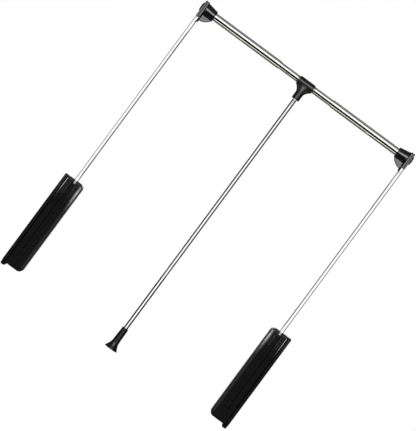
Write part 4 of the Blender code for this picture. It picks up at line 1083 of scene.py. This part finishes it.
def dress(piece, name, node, bevel=0.0, finish=None):
    """Name a piece, finish it, and put it in the place of its CAD node."""
    body = BODY_OF[node]
    slot = SLOT_OF[node]
    piece.name = name
    piece.data.name = name
    piece.data.materials.clear()
    piece.data.materials.append(MATERIALS[finish or slot])
    piece.data.shade_smooth()
    piece.data.set_sharp_from_angle(angle=SHARP_ANGLE)
    if bevel > 0.0:
        soft = piece.modifiers.new("soft_edges", "BEVEL")
        soft.width = bevel
        soft.segments = BEVEL_STEPS
        soft.limit_method = "ANGLE"
        soft.angle_limit = BEVEL_ANGLE
        soft.miter_outer = "MITER_ARC"
    even = piece.modifiers.new("even_shading", "WEIGHTED_NORMAL")
    even.keep_sharp = True
    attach(piece, body)
    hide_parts(node)


def mirrored(piece):
    """A right-hand copy of a left-hand piece, at the other wall."""
    mesh = piece.data.copy()
    mesh.transform(Matrix.Translation((CABINET_WIDTH, 0.0, 0.0)) @ Matrix.Scale(-1.0, 4, (1.0, 0.0, 0.0)))
    mesh.flip_normals()
    return placed("shape", mesh)


def dress_pair(shape, name, node, bevel=0.0, finish=None):
    """Dress a left piece and its mirror image."""
    pieces = (shape, mirrored(shape))
    for side, piece in zip(SIDES, pieces):
        dress(piece, side + "_" + name, side + "_" + node, bevel, finish)
    return pieces


def dress_screws(screw, node, heights):
    """Dress the low and the high screws of both sides."""
    for place, height in heights.items():
        dress_pair(screw(height), node + place + "_cross", node + place)


def build_sides():
    """The dressed pieces of both housings, arms and rail halves."""
    dress_pair(wall_plate(), "plate_tray", "wall_plate", FINE_BEVEL)
    dress_pair(cover(), "cover_shell", "cover", FINE_BEVEL)
    dress_screws(cover_screw, "cover_screw_", COVER_SCREW_HEIGHTS)
    springs = dress_pair(spring(), "spring_coil", "spring")
    for side, piece in zip(SIDES, springs):
        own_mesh(piece)
    dress_pair(swing_lever(), "lever_casting", "swing_lever", LEVER_BEVEL)
    arm_foot = (ARM_INSET, 0.0, ARM_BOTTOM)
    arm = tube(ARM_RADIUS, ARM_RADIUS - ARM_WALL, "Z", arm_foot, ARM_TOP - ARM_BOTTOM)
    dress_pair(arm, "arm_tube", "arm", finish="arm_chrome")
    dress_screws(arm_screw, "arm_screw_", ARM_SCREW_HEIGHTS)
    dress_pair(corner_bracket(), "elbow", "corner_bracket", BRACKET_BEVEL)
    dress_pair(rail_cap(), "elbow_cap", "rail_cap")
    clamp_place = (CLAMP_SCREW_PLACE, OUTER_TUBE_RADIUS + GAP, RAIL_HEIGHT)
    dress_pair(grub_screw(CLAMP_SCREW_LENGTH, clamp_place), "clamp_grub", "clamp_screw")
    tube_end = MIDDLE - INNER_TUBE_SHOWN / 2
    outer = rail_tube(OUTER_TUBE_RADIUS, OUTER_TUBE_BORE, TUBE_STOP + GAP, tube_end)
    dress_pair(outer, "rail_tube", "outer_tube", finish="rail_chrome")


def build_middle():
    """The dressed pieces in the middle of the rail."""
    half = INNER_TUBE_SHOWN / 2 + INNER_TUBE_LAP
    inner = rail_tube(INNER_TUBE_RADIUS, INNER_TUBE_BORE, MIDDLE - half, MIDDLE + half)
    dress(inner, "rail_slide", "rail_inner_tube", finish="slide_chrome")
    bush_ends = (MIDDLE - TEE_BUSH_HALF, MIDDLE + TEE_BUSH_HALF)
    dress(rail_tube(TEE_BUSH_RADIUS, INNER_TUBE_RADIUS + GAP, *bush_ends), "tee_liner", "tee_bush")
    dress(tee_bracket(), "tee_body", "tee_bracket", FINE_BEVEL)
    screw_place = (MIDDLE, HANDLE_ROD_RADIUS + GAP, RAIL_HEIGHT - TEE_SCREW_PLACE)
    dress(grub_screw(TEE_SCREW_LENGTH, screw_place), "tee_grub", "tee_screw")
    rod_foot = (MIDDLE, 0.0, HANDLE_ROD_BOTTOM)
    rod_length = HANDLE_ROD_TOP - HANDLE_ROD_BOTTOM
    rod = cylinder(HANDLE_ROD_RADIUS, "Z", rod_foot, rod_length, TUBE_SIDES, TUBE_CHAMFER)
    dress(rod, "pull_rod", "handle_rod", finish="rod_chrome")
    dress(handle_grip(), "pull_grip", "handle_grip")


def paint_cad_nodes():
    """Give the CAD nodes that stay on show the finish of their slot."""
    for name, node in frame["nodes"].items():
        slot = SLOT_OF[name]
        material = MATERIALS["rail_chrome" if slot == "chrome" else slot]
        node.data.materials.clear()
        node.data.materials.append(material)


# Camera, light and floor

PHOTO_HEIGHT_PIXELS = 431
METRES_PER_PIXEL = 0.002615
LENS = 200.0
SENSOR = 36.0
AIM = Vector((0.3643, 0.0, 0.3641))
ROLL = math.radians(36.5)
WHITE = (1.0, 1.0, 1.0, 1.0)
FILL_COLOUR = (0.95, 0.97, 1.0, 1.0)
FILL_STRENGTH = 0.5
FLOOR_HEIGHT = -0.62
FLOOR_RADIUS = 1.4
FLOOR_SIDES = 96
FLOOR_FADE = (0.7, 1.38)
FLOOR_COLOURS = ((0.90, 0.885, 0.85), (0.93, 0.92, 0.89))
FLOOR_GRAIN = 6.0
FLOOR_DETAIL = 3.0
FLOOR_ROUGHNESS = 0.9

# Name, height, height of the lamp's face and radiance
LAMPS = (("softbox_low", 0.87, 0.46, 3.2), ("softbox_high", 1.38, 0.54, 10.0))
LAMP_Y = -2.2
LAMP_WIDTH = 2.0
LAMPS_SPARE = (
    "arm_tube", "rail_tube", "rail_slide", "pull_rod", "cover_shell", "plate_tray", "lever_casting",
)

# Cards that show in reflections
DARK = (0.003, 0.003, 0.002)
CARD_REACH = 1.60
CARD_LOW = FLOOR_HEIGHT + 0.01
CARD_TOP = 1.90
WIDE = (-CARD_REACH, CARD_REACH)
BACK_SPLIT = 0.30
FLOOR_SPLIT = -0.38

# Cards all round: reach from the middle, depth and height, one of them a single place, and colour
CARDS = {
    "card_front": (WIDE, -2.60, (-0.30, 3.0), (1.35, 1.35, 1.34)),
    "card_ceiling": (WIDE, (-1.05, CARD_REACH), CARD_TOP, (0.20, 0.20, 0.195)),
    "card_back": (WIDE, CARD_REACH, (BACK_SPLIT, CARD_TOP), (0.26, 0.26, 0.255)),
    "card_back_low": (WIDE, 1.61, (CARD_LOW, BACK_SPLIT), (0.13, 0.13, 0.10)),
    "card_rear_floor": (WIDE, (FLOOR_SPLIT, CARD_REACH), CARD_LOW, (0.11, 0.11, 0.08)),
    "card_near_floor": (WIDE, (-CARD_REACH, FLOOR_SPLIT), CARD_LOW, (0.86, 0.84, 0.74)),
    "card_behind": ((-0.7165, 0.7335), 1.55, (BACK_SPLIT, 0.70), (1.1, 1.1, 1.1)),
}

# The same at each side of the middle, with the tones of the left and the right card
SIDE_CARDS = {
    "card_side_": (1.30, (-0.35, CARD_REACH), (0.15, 0.95), (0.34, 0.16)),
    "card_side_low_": (1.30, (-0.35, CARD_REACH), (CARD_LOW, 0.15), (0.80, 0.80)),
    "card_side_high_": (1.30, (-1.80, CARD_REACH), (0.95, CARD_TOP), (0.03, 0.03)),
    "card_middle_": (0.00002, (-0.60, 0.10), (0.24, 0.745), (0.36, 0.52)),
    "card_rod_": (0.06, (-0.085, 0.090), (0.16, 0.745), (0.09, 0.09)),
    "card_rod_low_": (0.06, (-0.085, 0.090), (-0.12, 0.16), (0.025, 0.025)),
}

# Dark ones at each side, most of them shelves under the rail
DARK_CARDS = {
    "card_elbow_": (0.4465, (-0.30, 0.30), (0.774, 0.90)),
    "shelf_rail_": ((0.0275, 0.2975), (-0.06, -0.019), 0.775),
    "shelf_inner_": ((0.0275, 0.0835), (-0.022, -0.015), 0.775),
    "shelf_collar_": ((0.2961, 0.326), (-0.06, -0.0165), 0.755),
    "shelf_tee_": ((0.009, 0.0275), (-0.35, -0.020), 0.742),
    "shelf_edge_": ((0.0275, 0.2975), -0.06, (0.775, 0.7945)),
}
SLANT_CORNERS = ((0.3215, -0.06), (0.2915, -0.06), (0.2495, -0.35), (0.2835, -0.35))
SLANT_HEIGHT = 0.755

# Flags before a housing: foot, top, reach inwards and tone; the lowest has a side flag at each end
FLAGS = (
    (-0.45, 0.145, 0.22, 0.13),
    (0.145, 0.165, 0.13, 0.10),
    (0.165, 0.185, 0.13, 0.17),
    (0.185, 0.229, 0.13, 0.36),
)
FLAG_Y = -0.10
FLAG_OUT = -0.30
FLAG_BLUE = 1.12
FLAG_BACKS = {"out": -0.03, "in": 0.15}

# Light strips beside a housing: reach inwards, depth and light
STRIP_Y = FLAG_Y + 0.0025
STRIPS = {
    "kicker_in_": (0.14, (STRIP_Y, -0.002), 9.5),
    "kicker_turn_": ((0.095, 0.14), STRIP_Y, 4.0),
    "kicker_out_": (-0.05, (STRIP_Y, -0.0525), 18.0),
}

# Their fades: foot, top, and the share of each strip's light
STRIP_FADES = (
    (-0.05, 0.150, 0.06, 0.06, 0.004),
    (0.150, 0.164, 0.12, 0.12, 0.014),
    (0.164, 0.176, 0.25, 0.25, 0.06),
    (0.176, 0.188, 0.50, 0.50, 0.25),
    (0.188, 0.200, 0.80, 0.80, 0.64),
    (0.200, 0.212, 1.0, 1.0, 1.0),
    (0.212, 0.229, 0.66, 0.66, 1.0),
)


def add_camera():
    """Long-lens camera square in front, rolled so that the rail leans as in the photo."""
    data = bpy.data.cameras.new("camera")
    data.lens = LENS
    data.sensor_width = SENSOR
    camera = placed("camera", data)
    distance = LENS / SENSOR * PHOTO_HEIGHT_PIXELS * METRES_PER_PIXEL
    right = Vector((math.cos(ROLL), 0.0, math.sin(ROLL)))
    up = Vector((-math.sin(ROLL), 0.0, math.cos(ROLL)))
    turn = Matrix((right, up, FORWARD)).transposed().to_4x4()
    camera.matrix_world = Matrix.Translation(AIM + FORWARD * distance) @ turn
    bpy.context.scene.camera = camera


def add_world():
    """White surroundings for the camera and for reflections, and a plain soft fill."""
    world = bpy.data.worlds.new("studio")
    bpy.context.scene.world = world
    world.use_nodes = True
    tree = world.node_tree
    tree.nodes.clear()
    rays = tree.nodes.new("ShaderNodeLightPath").outputs
    shown = combined(tree, "MAXIMUM", rays["Is Camera Ray"], rays["Is Glossy Ray"])
    through = combined(tree, "MAXIMUM", shown, rays["Is Transmission Ray"])
    fill = add_node(tree, "Background", {"Color": FILL_COLOUR, "Strength": FILL_STRENGTH})
    white = add_node(tree, "Background", {"Color": WHITE, "Strength": 1.0})
    mix = add_node(tree, "MixShader", {"Fac": through, 1: fill, 2: white})
    feed(tree, tree.nodes.new("ShaderNodeOutputWorld"), {"Surface": mix})


def add_floor():
    """Pale round floor below the rail, fading to white at its rim."""
    bm = bmesh.new()
    bmesh.ops.create_circle(bm, cap_ends=True, radius=FLOOR_RADIUS, segments=FLOOR_SIDES)
    mesh = bpy.data.meshes.new("floor")
    bm.to_mesh(mesh)
    bm.free()
    floor = placed("floor", mesh)
    floor.location = (MIDDLE, 0.0, FLOOR_HEIGHT)
    material, tree, shader = new_material("floor")
    tone = clouded(tree, FLOOR_GRAIN, *FLOOR_COLOURS, FLOOR_DETAIL)
    feed(tree, shader, {"Base Color": tone, "Roughness": FLOOR_ROUGHNESS})
    white = add_node(tree, "Emission", {})
    distance = add_node(tree, "VectorMath", {0: own_place(tree)}, "Value", operation="LENGTH")
    fade = ranged(tree, distance, *FLOOR_FADE, 0.0, 1.0)
    mix = add_node(tree, "MixShader", {"Fac": fade, 1: shader.outputs["BSDF"], 2: white})
    feed(tree, tree.nodes["Material Output"], {"Surface": mix})
    mesh.materials.append(material)


def keep_off(lamp):
    """Keep a lamp off the pieces that show the surroundings and the cards instead."""
    spared = bpy.data.collections.new(lamp.name + "_spared")
    lamp.light_linking.receiver_collection = spared
    for piece in bpy.context.scene.objects[:]:
        if piece.name.endswith(LAMPS_SPARE):
            spared.objects.link(piece)
    for row in spared.collection_objects:
        row.light_linking.link_state = "EXCLUDE"


def add_lamps():
    """Two soft lamps in front, for the rail's plastic fittings and the floor."""
    for name, height, tall, radiance in LAMPS:
        data = bpy.data.lights.new(name, "AREA")
        data.shape = "RECTANGLE"
        data.size = LAMP_WIDTH
        data.size_y = tall
        data.energy = radiance * math.pi * LAMP_WIDTH * tall
        lamp = placed(name, data)
        lamp.location = (MIDDLE, LAMP_Y, height)
        lamp.rotation_euler = (-FORWARD).to_track_quat("-Z", "Y").to_euler()
        lamp.visible_camera = False
        keep_off(lamp)


def add_card(name, corners, colour):
    """Studio card that only shows in reflections."""
    mesh = bpy.data.meshes.new(name)
    mesh.from_pydata(corners, [], [(0, 1, 2, 3)])
    material, tree, shader = new_material(name)
    tree.nodes.remove(shader)
    glow = add_node(tree, "Emission", {"Color": (*colour, 1.0)})
    feed(tree, tree.nodes["Material Output"], {"Surface": glow})
    mesh.materials.append(material)
    card = placed(name, mesh)
    card.visible_camera = False
    card.visible_diffuse = False
    card.visible_shadow = False
    card.visible_transmission = False


def grey(tone):
    """A colour without a tint."""
    return (tone, tone, tone)


def rectangle(origin, way, *spans):
    """Corners of a card from its ranges and its place; those along X are counted one way from an origin."""
    reach, depth, height = [span if isinstance(span, tuple) else (span,) for span in spans]
    across = sorted(origin + way * x for x in reach)
    first, second, third, fourth = itertools.product(across, depth, height)
    return [first, third, fourth, second]


def add_cards():
    """Grey, dark and light cards that give the chrome its bands."""
    for name, (*spans, colour) in CARDS.items():
        add_card(name, rectangle(MIDDLE, 1.0, *spans), colour)


def add_side_cards(name, way):
    """Cards to one side of the middle: beside the arms and the pull rod, and under the rail."""
    for kind, (*spans, tones) in SIDE_CARDS.items():
        add_card(kind + name, rectangle(MIDDLE, way, *spans), grey(tones[SIDES.index(name)]))
    for kind, spans in DARK_CARDS.items():
        add_card(kind + name, rectangle(MIDDLE, way, *spans), DARK)
    slant = [(MIDDLE + way * reach, y, SLANT_HEIGHT) for reach, y in SLANT_CORNERS]
    add_card("shelf_front_" + name, slant, DARK)


def add_housing_cards(name, wall, inward):
    """Cards round one housing: dark flags, and a light strip at each side of its top."""
    for number, (start, end, reach, tone) in enumerate(FLAGS):
        flag = rectangle(wall, inward, (FLAG_OUT, reach), FLAG_Y, (start, end))
        add_card(f"flag_{number}_{name}", flag, (tone, tone, FLAG_BLUE * tone))
    start, end, reach, tone = FLAGS[0]
    for (place, back), x in zip(FLAG_BACKS.items(), (FLAG_OUT, reach)):
        flag = rectangle(wall, inward, x, (FLAG_Y, back), (start, end))
        add_card(f"flag_{place}_{name}", flag, grey(tone))
    for number, (start, end, *shares) in enumerate(STRIP_FADES):
        for share, (kind, (reach, depth, light)) in zip(shares, STRIPS.items()):
            strip = rectangle(wall, inward, reach, depth, (start, end))
            add_card(f"{kind}{number}_{name}", strip, grey(light * share))


bpy.context.scene.view_settings.view_transform = "Standard"
paint_cad_nodes()
build_sides()
build_middle()
add_camera()
add_world()
add_floor()
add_cards()
add_side_cards("left", -1.0)
add_side_cards("right", 1.0)
add_housing_cards("left", wall=0.0, inward=1.0)
add_housing_cards("right", wall=CABINET_WIDTH, inward=-1.0)
add_lamps()

bpy.context.view_layer.update()
